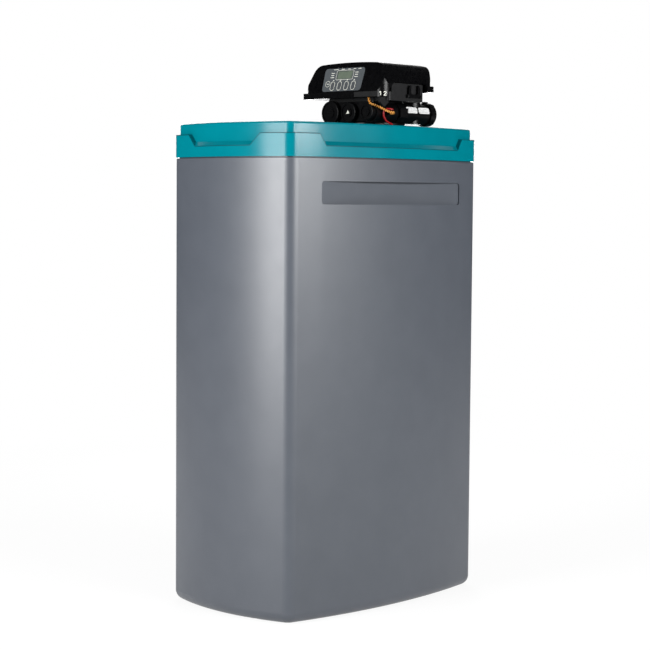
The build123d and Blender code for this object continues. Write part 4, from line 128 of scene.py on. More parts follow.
def makeSoftBox(name, azimuth, power, width, look):
    data = bpy.data.lights.new(name, "AREA")
    data.shape = "RECTANGLE"
    data.size = width
    data.size_y = look["boxHeight"]
    data.energy = power
    lamp = addObject(name, data)
    turn = math.radians(azimuth)
    reach = look["boxDistance"]
    lamp.location = (reach * math.sin(turn), -reach * math.cos(turn), look["boxCentre"])
    towards = Vector((0.0, 0.0, look["boxCentre"])) - lamp.location
    lamp.rotation_euler = towards.to_track_quat("-Z", "Z").to_euler()


# Dark cloth is out of the picture and shows in the gloss: screens bend round the object from the floor up
# and a canopy hangs over it
def makeCloth(name, points, faces, look):
    mesh = plainMesh(name, points, faces)
    material, _, shader = newMaterial(name + "Cloth")
    setInputs(shader, {"Base Color": (*look["clothTint"], 1.0), "Roughness": 1.0,
                       "Specular IOR Level": 0.0})
    mesh.materials.append(material)
    cloth = addObject(name, mesh)
    cloth.visible_camera = False
    return cloth


def makeScreen(name, span, look):
    steps, reach = look["screenSteps"], look["screenDistance"]
    turn = np.radians(np.linspace(*span, steps + 1))
    foot = np.stack([reach * np.sin(turn), -reach * np.cos(turn), np.zeros(turn.size)], -1)
    head = foot + np.array([0.0, 0.0, look["screenHeight"]])
    low = np.arange(steps)
    quads = np.stack([low, low + 1, low + 1 + turn.size, low + turn.size], -1)
    makeCloth(name, np.concatenate([foot, head]).tolist(), quads.tolist(), look)


# The corners of a level square about the object's axis
def squareAt(size, height):
    half = size / 2
    return [(-half, -half, height), (half, -half, height), (half, half, height), (-half, half, height)]


def makeCanopy(look):
    corners = squareAt(look["canopySize"], look["canopyHeight"])
    canopy = makeCloth("canopy", corners, [(0, 1, 2, 3)], look)
    canopy.visible_diffuse = False
    canopy.visible_shadow = False


# 1 for rays from the camera, from gloss and through glass, and 0 for the rest
def seenWhite(tree):
    path = addNode(tree, "LightPath")
    largest = path.outputs["Is Camera Ray"]
    for kind in ("Is Glossy Ray", "Is Transmission Ray"):
        larger = addNode(tree, "Math", operation="MAXIMUM")
        tree.links.new(largest, larger.inputs[0])
        tree.links.new(path.outputs[kind], larger.inputs[1])
        largest = larger.outputs[0]
    return largest


# One shader where the share is 0 and another where it is 1
def mixInto(tree, share, first, second, end):
    mix = addNode(tree, "MixShader")
    tree.links.new(share, mix.inputs["Fac"])
    tree.links.new(first.outputs[0], mix.inputs[1])
    tree.links.new(second.outputs[0], mix.inputs[2])
    tree.links.new(mix.outputs[0], end.inputs["Surface"])


def makeSurround(look):
    world = bpy.data.worlds.new("surround")
    scene.world = world
    world.use_nodes = True
    tree = world.node_tree
    tree.nodes.clear()
    white = addNode(tree, "Background", {"Strength": 1.0, "Color": (1.0, 1.0, 1.0, 1.0)})
    fill = addNode(tree, "Background", {"Strength": look["surround"], "Color": (1.0, 1.0, 1.0, 1.0)})
    mixInto(tree, seenWhite(tree), fill, white, addNode(tree, "OutputWorld"))


# A pale floor that shows as white: the white's share grows with the distance from the object
def makeFloor(look):
    mesh = plainMesh("floor", squareAt(look["floorSize"], 0.0), [(0, 1, 2, 3)])
    floor = addObject("floor", mesh)
    material, tree, shader = newMaterial("floorPaint")
    setInputs(shader, {"Base Color": (*look["floorTint"], 1.0), "Roughness": look["floorRoughness"],
                       "Specular IOR Level": 0.0})
    glow = addNode(tree, "Emission", {"Strength": 1.0})
    place = addNode(tree, "TexCoord")
    reach = addNode(tree, "VectorMath", operation="LENGTH")
    spread = addNode(tree, "MapRange", {"From Min": look["glowNear"], "From Max": look["glowFar"],
                                        "To Min": look["floorGlow"]})
    share = addNode(tree, "Math", operation="MULTIPLY")
    tree.links.new(place.outputs["Object"], reach.inputs[0])
    tree.links.new(reach.outputs["Value"], spread.inputs["Value"])
    tree.links.new(seenWhite(tree), share.inputs[0])
    tree.links.new(spread.outputs["Result"], share.inputs[1])
    mixInto(tree, share.outputs[0], shader, glow, tree.nodes["Material Output"])
    mesh.materials.append(material)


def makeStudio(look):
    makeSurround(look)
    for side in ("left", "right", "back"):
        azimuth, power, width = (look[side + part] for part in ("Azimuth", "Power", "Width"))
        makeSoftBox(side + "Box", azimuth, power, width, look)
    for number, span in enumerate(look["screens"]):
        makeScreen(f"screen{number + 1}", span, look)
    makeCanopy(look)
    makeFloor(look)


makeCamera(cameraLook)
makeStudio(studioLook)
print("camera and studio made")


# Linear colour from the 0 to 255 values that a picture shows
def tint(red, green, blue):
    shown = np.array([red, green, blue]) / 255.0
    linear = np.where(shown <= 0.04045, shown / 12.92, ((shown + 0.055) / 1.055) ** 2.4)
    return (*linear.tolist(), 1.0)


def noiseAt(tree, size, detail=2.0, roughness=0.5, stretch=(1.0, 1.0, 1.0)):
    place = addNode(tree, "TexCoord")
    mapping = addNode(tree, "Mapping", {"Scale": stretch})
    noise = addNode(tree, "TexNoise", {"Scale": 1.0 / (size * mm), "Detail": detail,
                                       "Roughness": roughness})
    tree.links.new(place.outputs["Object"], mapping.inputs["Vector"])
    tree.links.new(mapping.outputs["Vector"], noise.inputs["Vector"])
    return noise.outputs["Fac"]


def rampOf(tree, factor, stops):
    ramp = addNode(tree, "ValToRGB")
    while len(ramp.color_ramp.elements) < len(stops):
        ramp.color_ramp.elements.new(1.0)
    for element, (position, colour) in zip(ramp.color_ramp.elements, stops):
        element.position = position
        element.color = colour
    tree.links.new(factor, ramp.inputs["Fac"])
    return ramp.outputs["Color"]


def bumpOf(tree, height, depth, before=None):
    bump = addNode(tree, "Bump", {"Distance": depth * mm, "Strength": 1.0})
    tree.links.new(height, bump.inputs["Height"])
    if before is not None:
        tree.links.new(before, bump.inputs["Normal"])
    return bump.outputs["Normal"]


# What all the plastics share
plasticNoise = {
    "mottleDetail": 4.0, "mottleRoughness": 0.6, "mottleStops": (0.35, 0.65),
    "patchShare": 0.4, "patchDetail": 3.0, "patchSpan": (0.3, 0.7),   # the uneven roughness, in patches
    "waveDetail": 1.0, "grainDetail": 2.0,
    "scatter": 2.0,          # how far light spreads inside, in millimetres
}


# Moulded plastic: mottled colour, uneven roughness, a fine grain over long shallow waves
def mouldedPlastic(name, look):
    material, tree, shader = newMaterial(name)
    share = plasticNoise
    mottle = noiseAt(tree, look["mottleSize"], share["mottleDetail"], share["mottleRoughness"],
                     look.get("stretch", (1.0, 1.0, 1.0)))
    stops = list(zip(share["mottleStops"], (tint(*look["dark"]), tint(*look["light"]))))
    tree.links.new(rampOf(tree, mottle, stops), shader.inputs["Base Color"])
    low, high = share["patchSpan"]
    smooth, rough = look["roughness"]
    spread = addNode(tree, "MapRange", {"From Min": low, "From Max": high, "To Min": smooth, "To Max": rough})
    patches = noiseAt(tree, look["mottleSize"] * share["patchShare"], share["patchDetail"])
    tree.links.new(patches, spread.inputs["Value"])
    tree.links.new(spread.outputs["Result"], shader.inputs["Roughness"])
    waves = noiseAt(tree, look["waveSize"], share["waveDetail"])
    grain = noiseAt(tree, look["grainSize"], share["grainDetail"])
    over = bumpOf(tree, grain, look["grainDepth"], bumpOf(tree, waves, look["waveDepth"]))
    tree.links.new(over, shader.inputs["Normal"])
    setInputs(shader, {"Specular IOR Level": look["gloss"], "Transmission Weight": look.get("clear", 0.0),
                       "Subsurface Weight": look.get("scatterShare", 0.0),
                       "Subsurface Scale": share["scatter"] * mm})
    return material


plasticLooks = {
    "tubPlastic": {
        "dark": (64, 68, 75), "light": (67, 71, 78), "mottleSize": 60.0, "roughness": (0.38, 0.40),
        "gloss": 0.54, "grainSize": 1.4, "grainDepth": 0.012, "waveSize": 160.0, "waveDepth": 0.03,
    },
    "coverPlastic": {
        "dark": (0, 98, 109), "light": (0, 102, 113), "mottleSize": 80.0, "roughness": (0.17, 0.2),
        "gloss": 0.17, "grainSize": 4.0, "grainDepth": 0.003, "waveSize": 90.0, "waveDepth": 0.02,
    },
    # painted shade: a darker copy of the cover's teal, for the strip along the skirt's top edge
    "gapShadePlastic": {
        "dark": (0, 58, 66), "light": (0, 62, 70), "mottleSize": 80.0, "roughness": (0.4, 0.5),
        "gloss": 0.1, "grainSize": 4.0, "grainDepth": 0.003, "waveSize": 90.0, "waveDepth": 0.02,
    },
    "hoodPlastic": {
        "dark": (3, 3, 4), "light": (6, 6, 7), "mottleSize": 12.0, "roughness": (0.26, 0.32),
        "gloss": 0.12, "grainSize": 0.7, "grainDepth": 0.006, "waveSize": 50.0, "waveDepth": 0.02,
    },
    "blackPlastic": {
        "dark": (3, 3, 4), "light": (7, 7, 8), "mottleSize": 8.0, "roughness": (0.28, 0.38),
        "gloss": 0.14, "grainSize": 0.9, "grainDepth": 0.008, "waveSize": 30.0, "waveDepth": 0.03,
    },
    "housingPlastic": {
        "dark": (16, 16, 17), "light": (21, 21, 22), "mottleSize": 10.0, "roughness": (0.45, 0.55),
        "gloss": 0.16, "grainSize": 0.8, "grainDepth": 0.015, "waveSize": 40.0, "waveDepth": 0.05,
    },
    "tankWrap": {
        "dark": (24, 26, 34), "light": (40, 42, 50), "mottleSize": 30.0, "roughness": (0.3, 0.45),
        "gloss": 0.5, "grainSize": 3.0, "grainDepth": 0.12, "waveSize": 30.0, "waveDepth": 0.1,
        "stretch": (1.0, 1.0, 6.0),
    },
    "naturalPlastic": {
        "dark": (214, 213, 206), "light": (228, 227, 220), "mottleSize": 25.0, "roughness": (0.4, 0.5),
        "gloss": 0.4, "grainSize": 1.2, "grainDepth": 0.02, "waveSize": 40.0, "waveDepth": 0.05,
        "scatterShare": 0.15,
    },
    "overlayFilm": {
        "dark": (64, 68, 71), "light": (68, 72, 75), "mottleSize": 5.0, "roughness": (0.42, 0.5),
        "gloss": 0.3, "grainSize": 0.4, "grainDepth": 0.006, "waveSize": 40.0, "waveDepth": 0.02,
    },
    "screenGlass": {
        "dark": (84, 93, 82), "light": (90, 99, 87), "mottleSize": 12.0, "roughness": (0.12, 0.18),
        "gloss": 0.4, "grainSize": 1.0, "grainDepth": 0.002, "waveSize": 20.0, "waveDepth": 0.01,
    },
    "keyRubber": {
        "dark": (58, 61, 64), "light": (63, 66, 69), "mottleSize": 4.0, "roughness": (0.55, 0.65),
        "gloss": 0.25, "grainSize": 0.4, "grainDepth": 0.01, "waveSize": 8.0, "waveDepth": 0.02,
    },
    "labelWhite": {
        "dark": (206, 206, 205), "light": (218, 218, 217), "mottleSize": 9.0, "roughness": (0.4, 0.5),
        "gloss": 0.3, "grainSize": 0.5, "grainDepth": 0.004, "waveSize": 12.0, "waveDepth": 0.03,
    },
    "printWhite": {
        "dark": (196, 196, 186), "light": (216, 216, 206), "mottleSize": 2.0, "roughness": (0.5, 0.6),
        "gloss": 0.2, "grainSize": 0.3, "grainDepth": 0.004, "waveSize": 5.0, "waveDepth": 0.005,
    },
    "tanCable": {
        "dark": (196, 128, 48), "light": (222, 160, 78), "mottleSize": 6.0, "roughness": (0.4, 0.5),
        "gloss": 0.4, "grainSize": 0.5, "grainDepth": 0.02, "waveSize": 6.0, "waveDepth": 0.05,
    },
    "redCable": {
        "dark": (118, 8, 14), "light": (140, 15, 20), "mottleSize": 6.0, "roughness": (0.35, 0.45),
        "gloss": 0.4, "grainSize": 0.5, "grainDepth": 0.01, "waveSize": 8.0, "waveDepth": 0.05,
    },
    "tubePlastic": {
        "dark": (196, 200, 196), "light": (214, 217, 212), "mottleSize": 20.0, "roughness": (0.25, 0.35),
        "gloss": 0.5, "grainSize": 1.0, "grainDepth": 0.005, "waveSize": 15.0, "waveDepth": 0.05,
        "clear": 0.35,
    },
    "acetal": {
        "dark": (222, 222, 218), "light": (236, 236, 232), "mottleSize": 10.0, "roughness": (0.3, 0.4),
        "gloss": 0.5, "grainSize": 0.6, "grainDepth": 0.01, "waveSize": 15.0, "waveDepth": 0.03,
    },
    "boardGreen": {
        "dark": (14, 84, 48), "light": (22, 98, 58), "mottleSize": 5.0, "roughness": (0.3, 0.4),
        "gloss": 0.5, "grainSize": 0.6, "grainDepth": 0.02, "waveSize": 20.0, "waveDepth": 0.02,
    },
    "resinBeads": {
        "dark": (120, 62, 20), "light": (176, 102, 40), "mottleSize": 1.2, "roughness": (0.35, 0.5),
        "gloss": 0.5, "grainSize": 0.8, "grainDepth": 0.4, "waveSize": 30.0, "waveDepth": 1.0,
    },
}
materials = {name: mouldedPlastic(name, look) for name, look in plasticLooks.items()}


# Label print: grey dashes in rows, where rows of a wave meet the high parts of a noise
printedLook = {
    "rowRun": 3.2, "rowEdge": (0.62, 0.72),
    "dashSize": 1.6, "dashDetail": 1.0, "dashSquash": 0.3, "dashEdge": (0.44, 0.5),
    "ink": (120, 122, 124), "amount": 0.75,
}


def addPrint(material, look):
    tree = material.node_tree
    shader = tree.nodes["Principled BSDF"]
    paper = shader.inputs["Base Color"].links[0].from_socket
    place = addNode(tree, "TexCoord")
    # one band of this texture takes pi / 10 of a unit at scale 1
    rows = addNode(tree, "TexWave", {"Scale": math.pi / 10 / (look["rowRun"] * mm)}, bands_direction="Z")
    tree.links.new(place.outputs["Object"], rows.inputs["Vector"])
    dashes = noiseAt(tree, look["dashSize"], look["dashDetail"], stretch=(1.0, 1.0, look["dashSquash"]))
    black, white = (0.0, 0.0, 0.0, 1.0), (1.0, 1.0, 1.0, 1.0)
    inRow = rampOf(tree, rows.outputs["Fac"], list(zip(look["rowEdge"], (black, white))))
    inDash = rampOf(tree, dashes, list(zip(look["dashEdge"], (black, white))))
    both = addNode(tree, "Math", operation="MULTIPLY")
    tree.links.new(inRow, both.inputs[0])
    tree.links.new(inDash, both.inputs[1])
    amount = addNode(tree, "Math", {1: look["amount"]}, operation="MULTIPLY")
    tree.links.new(both.outputs[0], amount.inputs[0])
    # among this node's sockets 6 and 7 are the two colours, and 2 is the mixed one
    mix = addNode(tree, "Mix", {7: tint(*look["ink"])}, data_type="RGBA")
    tree.links.new(amount.outputs[0], mix.inputs["Factor"])
    tree.links.new(paper, mix.inputs[6])
    tree.links.new(mix.outputs[2], shader.inputs["Base Color"])


addPrint(materials["labelWhite"], printedLook)


metalNoise = {"detail": 3.0, "roughness": 0.6, "stops": (0.3, 0.7)}


# Bright metal: grey with fine marks along one direction
def brushedMetal(name, look):
    material, tree, shader = newMaterial(name)
    marks = noiseAt(tree, look["markSize"], metalNoise["detail"], metalNoise["roughness"],
                    look["stretch"])
    stops = list(zip(metalNoise["stops"], (tint(*look["dark"]), tint(*look["light"]))))
    tree.links.new(rampOf(tree, marks, stops), shader.inputs["Base Color"])
    tree.links.new(bumpOf(tree, marks, look["markDepth"]), shader.inputs["Normal"])
    setInputs(shader, {"Metallic": 1.0, "Roughness": look["roughness"]})
    return material


metalLooks = {
    "springSteel": {"dark": (168, 168, 170), "light": (196, 196, 198), "markSize": 2.0, "markDepth": 0.01,
                    "stretch": (0.1, 1.0, 1.0), "roughness": 0.3},
    "motorSteel": {"dark": (160, 160, 156), "light": (190, 190, 186), "markSize": 3.0, "markDepth": 0.01,
                   "stretch": (1.0, 0.1, 1.0), "roughness": 0.35},
}
materials.update({name: brushedMetal(name, look) for name, look in metalLooks.items()})

finishes = {
    "tubPlastic": ["cabinet_tub"],
    "coverPlastic": ["top_cover", "salt_hatch"],
    "hoodPlastic": ["hood", "hood_latch", "display_panel"],
    "housingPlastic": ["timer_housing"],
    "blackPlastic": [
        "brine_fitting", "brine_well_cap", "bypass_body", "coupling_clips", "drain_elbow",
        "flow_probe", "injector_cap", "inlet_rotor", "outlet_rotor", "overflow_elbow",
        "overflow_nut", "pipe_nuts", "power_socket", "refill_cap", "screen_cap", "tank_boot",
        "top_plate", "valve_body",
    ],
    "tankWrap": ["resin_tank"],
    "naturalPlastic": [
        "air_check", "brine_valve", "brine_well", "lower_strainer", "pickup_tube", "riser_tube",
        "salt_grid", "upper_strainer",
    ],
    "overlayFilm": ["panel_overlay"],
    "screenGlass": ["display_screen"],
    "keyRubber": ["panel_button_1", "panel_button_2", "panel_button_3", "panel_button_4"],
    "labelWhite": ["label_plates"],
    "tanCable": ["tan_lead"],
    "redCable": ["red_lead"],
    "tubePlastic": ["brine_tube"],
    "acetal": [
        "brine_float", "camshaft", "float_rod", "motor_pinion", "turbine_wheel", "valve_lever_1",
        "valve_lever_2", "valve_lever_3", "valve_lever_4", "valve_lever_5",
    ],
    "boardGreen": ["circuit_board"],
    "resinBeads": ["resin_bed"],
    "springSteel": ["hatch_hinge_pins", "lever_spring", "top_plate_screws"],
    "motorSteel": ["drive_motor"],
}
for finish, members in finishes.items():
    for member in members:
        nodes[member].data.materials.clear()
        nodes[member].data.materials.append(materials[finish])
print("materials given to", sum(len(members) for members in finishes.values()), "nodes")


# The faces of a grid of points, numbered from the start: each direction is joined round where asked, with
# flat ends where the second is and the first is not
def gridFaces(shape, joined=(True, True), start=0):
    number = np.arange(shape[0] * shape[1]).reshape(shape[:2]) + start
    if joined[0]:
        number = np.concatenate([number, number[:1]], 0)
    if joined[1]:
        number = np.concatenate([number, number[:, :1]], 1)
    quads = np.stack([number[:-1, :-1], number[1:, :-1], number[1:, 1:], number[:-1, 1:]], -1)
    faces = quads.reshape(-1, 4).tolist()
    if joined[1] and not joined[0]:
        faces += [number[0, :-1].tolist(), number[-1, :-1][::-1].tolist()]
    return faces


def meshPiece(name, points, faces, material, body, sharp=40.0):
    mesh = plainMesh(name, (points * mm).tolist(), faces)
    work = bmesh.new()
    work.from_mesh(mesh)
    bmesh.ops.recalc_face_normals(work, faces=work.faces)
    work.to_mesh(mesh)
    work.free()
    mesh.shade_smooth()
    mesh.set_sharp_from_angle(angle=math.radians(sharp))
    mesh.materials.append(materials[material])
    piece = addObject(name, mesh)
    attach(piece, body)
    return piece


def gridPiece(name, points, material, body, joined=(True, True)):
    return meshPiece(name, points.reshape(-1, 3), gridFaces(points.shape, joined), material, body)


# Cords: each follows a smooth spline through its route, and the tan pair twists about its own
cordLooks = {
    "red_lead": {
        "route": [(80.3, 94, 965.5), (86, 94, 965.5), (88.5, 90.5, 966.3), (85.5, 85.5, 967.3),
                  (80, 80.5, 967), (76, 78, 962), (75, 79.5, 952), (75.5, 86, 943.5), (75, 97, 939.5),
                  (72.8, 110.5, 937), (63.1, 113.1, 937)],
        "length": 83.9, "diameter": 3.6, "material": "redCable", "slot": "red_cable", "stiffness": "limp",
    },
    "tan_lead": {
        "route": [(60, 51.5, 989.1), (60, 51.5, 978), (68, 60, 974.5), (76, 71, 969), (83, 79, 963),
                  (89, 84.5, 960.5), (91.5, 90, 959.5), (88.3, 94, 959), (80.3, 94, 959)],
        "length": 75.6, "diameter": 4.0, "material": "tanCable", "slot": "tan_cable", "stiffness": "limp",
        # a strand's diameter, its way off the middle and one turn's run, then the faces round it, a step
        # along it and a direction that the route never takes
        "strand": 2.2, "spread": 1.35, "lay": 10.0,
        "sides": 12, "finest": 0.6, "aside": (0.3, -0.2, 0.93),
    },
    "brine_tube": {
        "route": [(-82.5, 95, 950.7), (-82.5, 95, 912), (-84, 71, 885), (-86.5, 34, 880), (-88.5, -2, 884),
                  (-88.8, -32.8, 862), (-88, -32, 819), (-88, -32, 789.8)],
        "length": 251.4, "diameter": 9.5, "material": "tubePlastic", "slot": "tube_plastic",
        "stiffness": "stiff",
    },
}


curveLook = {"order": 3, "steps": 16, "roundSteps": 6}


def routeCurve(name, look, thick):
    curve = bpy.data.curves.new(name, "CURVE")
    curve.dimensions = "3D"
    curve.resolution_u = curveLook["steps"]
    spline = curve.splines.new("NURBS")
    spline.points.add(len(look["route"]) - 1)
    for point, place in zip(spline.points, look["route"]):
        point.co = (*(value * mm for value in place), 1.0)
    spline.order_u = curveLook["order"]
    spline.use_endpoint_u = True
    if thick:
        curve.bevel_depth = look["diameter"] / 2 * mm
        curve.bevel_resolution = curveLook["roundSteps"]
        curve.use_fill_caps = True
    return addObject(name, curve)


def splinePoints(name, look):
    guide = routeCurve(name + "_guide", look, False)
    bpy.context.view_layer.update()
    line = bpy.data.meshes.new_from_object(guide.evaluated_get(bpy.context.evaluated_depsgraph_get()))
    points = np.array([vertex.co[:] for vertex in line.vertices]) / mm
    bpy.data.objects.remove(guide)
    return points


# Two round strands half a turn apart wind about the line: the angle grows with the run along it
def twistedPair(line, look):
    run = np.concatenate([[0.0], np.cumsum(np.linalg.norm(np.diff(line, axis=0), axis=1))])
    steps = np.arange(0.0, run[-1], look["finest"])
    centre = np.stack([np.interp(steps, run, line[:, axis]) for axis in range(3)], -1)
    ahead = np.gradient(centre, axis=0)
    ahead /= np.linalg.norm(ahead, axis=1, keepdims=True)
    side = np.cross(ahead, np.array(look["aside"]))
    side /= np.linalg.norm(side, axis=1, keepdims=True)
    over = np.cross(ahead, side)
    about = np.linspace(0.0, 2 * math.pi, look["sides"], endpoint=False)[None, :, None]
    ring = side[:, None] * np.cos(about) + over[:, None] * np.sin(about)
    strands = []
    for start in (0.0, math.pi):
        turn = (2 * math.pi * steps / look["lay"] + start)[:, None]
        middle = centre + look["spread"] * (side * np.cos(turn) + over * np.sin(turn))
        strands.append(middle[:, None] + ring * look["strand"] / 2)
    return strands


def pairPiece(name, line, look):
    points, faces = [], []
    for strand in twistedPair(line, look):
        faces += gridFaces(strand.shape, (False, True), sum(len(part) for part in points))
        points.append(strand.reshape(-1, 3))
    return meshPiece(name, np.concatenate(points), faces, look["material"], "cabinet")


def curvePiece(name, look):
    piece = routeCurve(name, look, True)
    piece.data.materials.append(materials[look["material"]])
    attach(piece, "cabinet")
    return piece


for cordName, look in cordLooks.items():
    line = splinePoints(cordName, look)
    if "strand" in look:
        piece, path = pairPiece(cordName + "_pair", line, look), line * mm
    else:
        piece, path = curvePiece(cordName + "_cord", look), None
    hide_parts(cordName)
print("cords made")


# Display panel: its plane leans back, with x to the right and v up the face from the rim's top edge
panelLook = {
    "foot": (43.0, 1001.0),  # y and z of the face's lower edge
    "lean": 16.5,
    "filmTop": -0.1,         # the film's face behind the hood's face
    "printRise": 0.06,
}


def onPanel(flat, height):
    # x stays, v runs up the leaning face and the height runs out along its normal
    lean = math.radians(panelLook["lean"])
    y = panelLook["foot"][0] + flat[:, 1] * math.sin(lean) - height * math.cos(lean)
    z = panelLook["foot"][1] + flat[:, 1] * math.cos(lean) + height * math.sin(lean)
    return np.stack([flat[:, 0], y, z], -1)


# A rounded rectangle: four quarter arcs about the corners' centres
def roundedOutline(width, height, radius, middle=(0.0, 0.0), steps=7):
    turn = np.arange(4)[:, None] * math.pi / 2 + np.linspace(0.0, math.pi / 2, steps)
    across = np.array([1, -1, -1, 1])[:, None] * (width / 2 - radius)
    upward = np.array([1, 1, -1, -1])[:, None] * (height / 2 - radius)
    points = np.stack([across + radius * np.cos(turn), upward + radius * np.sin(turn)], -1)
    return points.reshape(-1, 2) + np.array(middle)


# A strip of rectangular section along a flat line, closed or open: the line's normal gives its two edges
def stripAlong(line, width, bottom, top, lift, closed):
    if closed:
        along = np.roll(line, -1, 0) - np.roll(line, 1, 0)
    else:
        along = np.gradient(line, axis=0)
    along = along / np.linalg.norm(along, axis=1, keepdims=True)
    across = np.stack([along[:, 1], -along[:, 0]], 1) * width / 2
    edges = [lift(line + across, bottom), lift(line + across, top), lift(line - across, top),
             lift(line - across, bottom)]
    return np.stack(edges, 1)


# A flat plate with a given outline: its rim stands between a lower and an upper face
def plateFaces(count, start=0):
    lower = np.arange(count) + start
    upper = lower + count
    sides = np.stack([lower, np.roll(lower, -1), np.roll(upper, -1), upper], -1).tolist()
    return sides + [lower[::-1].tolist(), upper.tolist()]


def platesPiece(name, outlines, bottom, top, lift, material, body):
    points, faces = [], []
    for outline in outlines:
        faces += plateFaces(len(outline), sum(len(part) for part in points))
        points += [lift(outline, bottom), lift(outline, top)]
    return meshPiece(name, np.concatenate(points), faces, material, body)


keyLook = {
    "count": 4, "first": -35.0, "pitch": 18.9, "middle": 13.5, "width": 12.5, "height": 20.0, "corner": 6.2,
    "faceHeight": 0.5,       # the keys' faces stand out this far from the hood's face
    "ring": 0.8, "inset": 0.8,
}
for key in range(keyLook["count"]):
    middle = (keyLook["first"] + key * keyLook["pitch"], keyLook["middle"])
    inset = keyLook["inset"]
    outline = roundedOutline(keyLook["width"] - 2 * inset, keyLook["height"] - 2 * inset,
                             keyLook["corner"] - inset, middle)
    bottom = keyLook["faceHeight"]
    ring = stripAlong(outline, keyLook["ring"], bottom, bottom + panelLook["printRise"], onPanel, True)
    gridPiece(f"key_outline_{key + 1}", ring, "printWhite", f"button_{key + 1}")
print("key outlines made")

# Lines and small marks printed on the film: places are x and v on the face, sizes in millimetres
printLook = {
    "line": 0.6, "mark": 1.1,
    "frameMiddle": (-7.0, 36.5), "frameSize": (46.0, 19.5), "frameCorner": 2.6,
    "sideColumns": (-40.5, 24.5), "sideLengths": (9.0, 8.0, 9.5), "sideStep": 4.6,
    "topBars": [(-34.0, 13.0), (-15.0, 9.0), (2.0, 7.0), (17.0, 7.0), (31.0, 9.0)], "topRise": 48.6,
    "dotPlace": (-49.6, 18.6), "dotRadius": 6.0,
    "keyMarkRise": 25.6, "keyMarkSize": (3.4, 1.3),
    "barRound": 0.4,         # a bar's corner as a share of its height
}


def ringAbout(middle, radius, steps=48):
    turn = np.linspace(0.0, 2 * math.pi, steps, endpoint=False)
    return np.stack([np.cos(turn), np.sin(turn)], -1) * radius + np.array(middle)


def bar(middle, length, height):
    return roundedOutline(length, height, height * printLook["barRound"], middle, steps=3)


printFloor = panelLook["filmTop"]
printHead = printFloor + panelLook["printRise"]
frameOutline = roundedOutline(*printLook["frameSize"], printLook["frameCorner"], printLook["frameMiddle"])
dialOutline = ringAbout(printLook["dotPlace"], printLook["dotRadius"])
for pieceName, outline in (("screen_frame_line", frameOutline), ("dial_ring_line", dialOutline)):
    strip = stripAlong(outline, printLook["line"], printFloor, printHead, onPanel, True)
    gridPiece(pieceName, strip, "printWhite", "cabinet")
# two columns of short bars beside the screen, each column centred on the screen's height
marks = []
for column in printLook["sideColumns"]:
    for row, length in enumerate(printLook["sideLengths"]):
        rise = printLook["frameMiddle"][1] + (1 - row) * printLook["sideStep"]
        marks.append(bar((column, rise), length, printLook["mark"]))
for place, length in printLook["topBars"]:
    marks.append(bar((place, printLook["topRise"]), length, printLook["mark"]))
for key in range(keyLook["count"]):
    middle = (keyLook["first"] + key * keyLook["pitch"], printLook["keyMarkRise"])
    marks.append(bar(middle, *printLook["keyMarkSize"]))
marks.append(bar(printLook["dotPlace"], printLook["dotRadius"], printLook["mark"]))
platesPiece("panel_marks", marks, printFloor, printHead, onPanel, "printWhite", "cabinet")
print("panel print made")

# Two plain numerals on the rim's front right corner, each a thick line through a few points
numeralLook = {
    "facing": 45.0,          # the corner's middle looks this far round from the front
    "centre": (92.0, 56.0), "radius": 18.0,
    "height": 7.4, "foot": 991.4, "stroke": 1.25, "rise": 0.25,
    "finer": 6,              # steps between two points of a line
    "places": (-4.4, 4.6),   # along the corner, from its middle
    "one": [(-0.36, 0.78), (0.05, 1.0), (0.05, 0.0)],
    "two": [(-0.34, 0.76), (-0.2, 0.95), (0.06, 1.0), (0.3, 0.86), (0.3, 0.66), (-0.34, 0.03),
            (0.38, 0.03)],
}


def onRimCorner(flat, height):
    # the distance along the corner turns into an angle about its centre
    look = numeralLook
    turn = math.radians(look["facing"]) + flat[:, 0] / look["radius"]
    reach = look["radius"] + height
    return np.stack([look["centre"][0] + reach * np.sin(turn), look["centre"][1] - reach * np.cos(turn),
                     look["foot"] + flat[:, 1]], -1)


for numeral, place in zip(("one", "two"), numeralLook["places"]):
    line = np.array(numeralLook[numeral]) * numeralLook["height"] + np.array([place, 0.0])
    steps = np.linspace(0, len(line) - 1, numeralLook["finer"] * (len(line) - 1) + 1)
    line = np.stack([np.interp(steps, np.arange(len(line)), line[:, axis]) for axis in range(2)], -1)
    ribbon = stripAlong(line, numeralLook["stroke"], 0.0, numeralLook["rise"], onRimCorner, False)
    gridPiece(f"rim_numeral_{numeral}", ribbon, "printWhite", "cover_hood", (False, True))
print("numerals made")

# Fluted collars round the front caps: the outer radius swells and sinks with the angle
collarLook = {
    "caps": [("injector", -50.0, 23.25, 40), ("screen", 0.0, 20.0, 36), ("refill", 50.0, 17.0, 30)],
    "height": 961.5, "front": 56.2, "back": 62.0, "sunk": 0.6, "swell": 0.55,
    "finer": 8,              # steps round each flute
}
for capName, across, radius, flutes in collarLook["caps"]:
    turn = np.linspace(0.0, 2 * math.pi, flutes * collarLook["finer"], endpoint=False)
    outer = radius + collarLook["swell"] * (0.5 + 0.5 * np.cos(flutes * turn))
    inner = np.full(turn.size, radius - collarLook["sunk"])
    section = [(collarLook["front"], inner), (collarLook["front"], outer), (collarLook["back"], outer),
               (collarLook["back"], inner)]
    rings = [np.stack([across + reach * np.cos(turn), np.full(turn.size, y),
                       collarLook["height"] + reach * np.sin(turn)], -1) for y, reach in section]
    gridPiece(f"{capName}_collar", np.stack(rings, 1), "blackPlastic", "cabinet")

# A plain triangle on the middle cap
capMark = {"middle": (0.0, 961.0), "size": 5.0, "front": 54.94, "depth": 0.3}


def onCap(flat, height):
    return np.stack([flat[:, 0], np.full(len(flat), capMark["front"] - height), flat[:, 1]], -1)


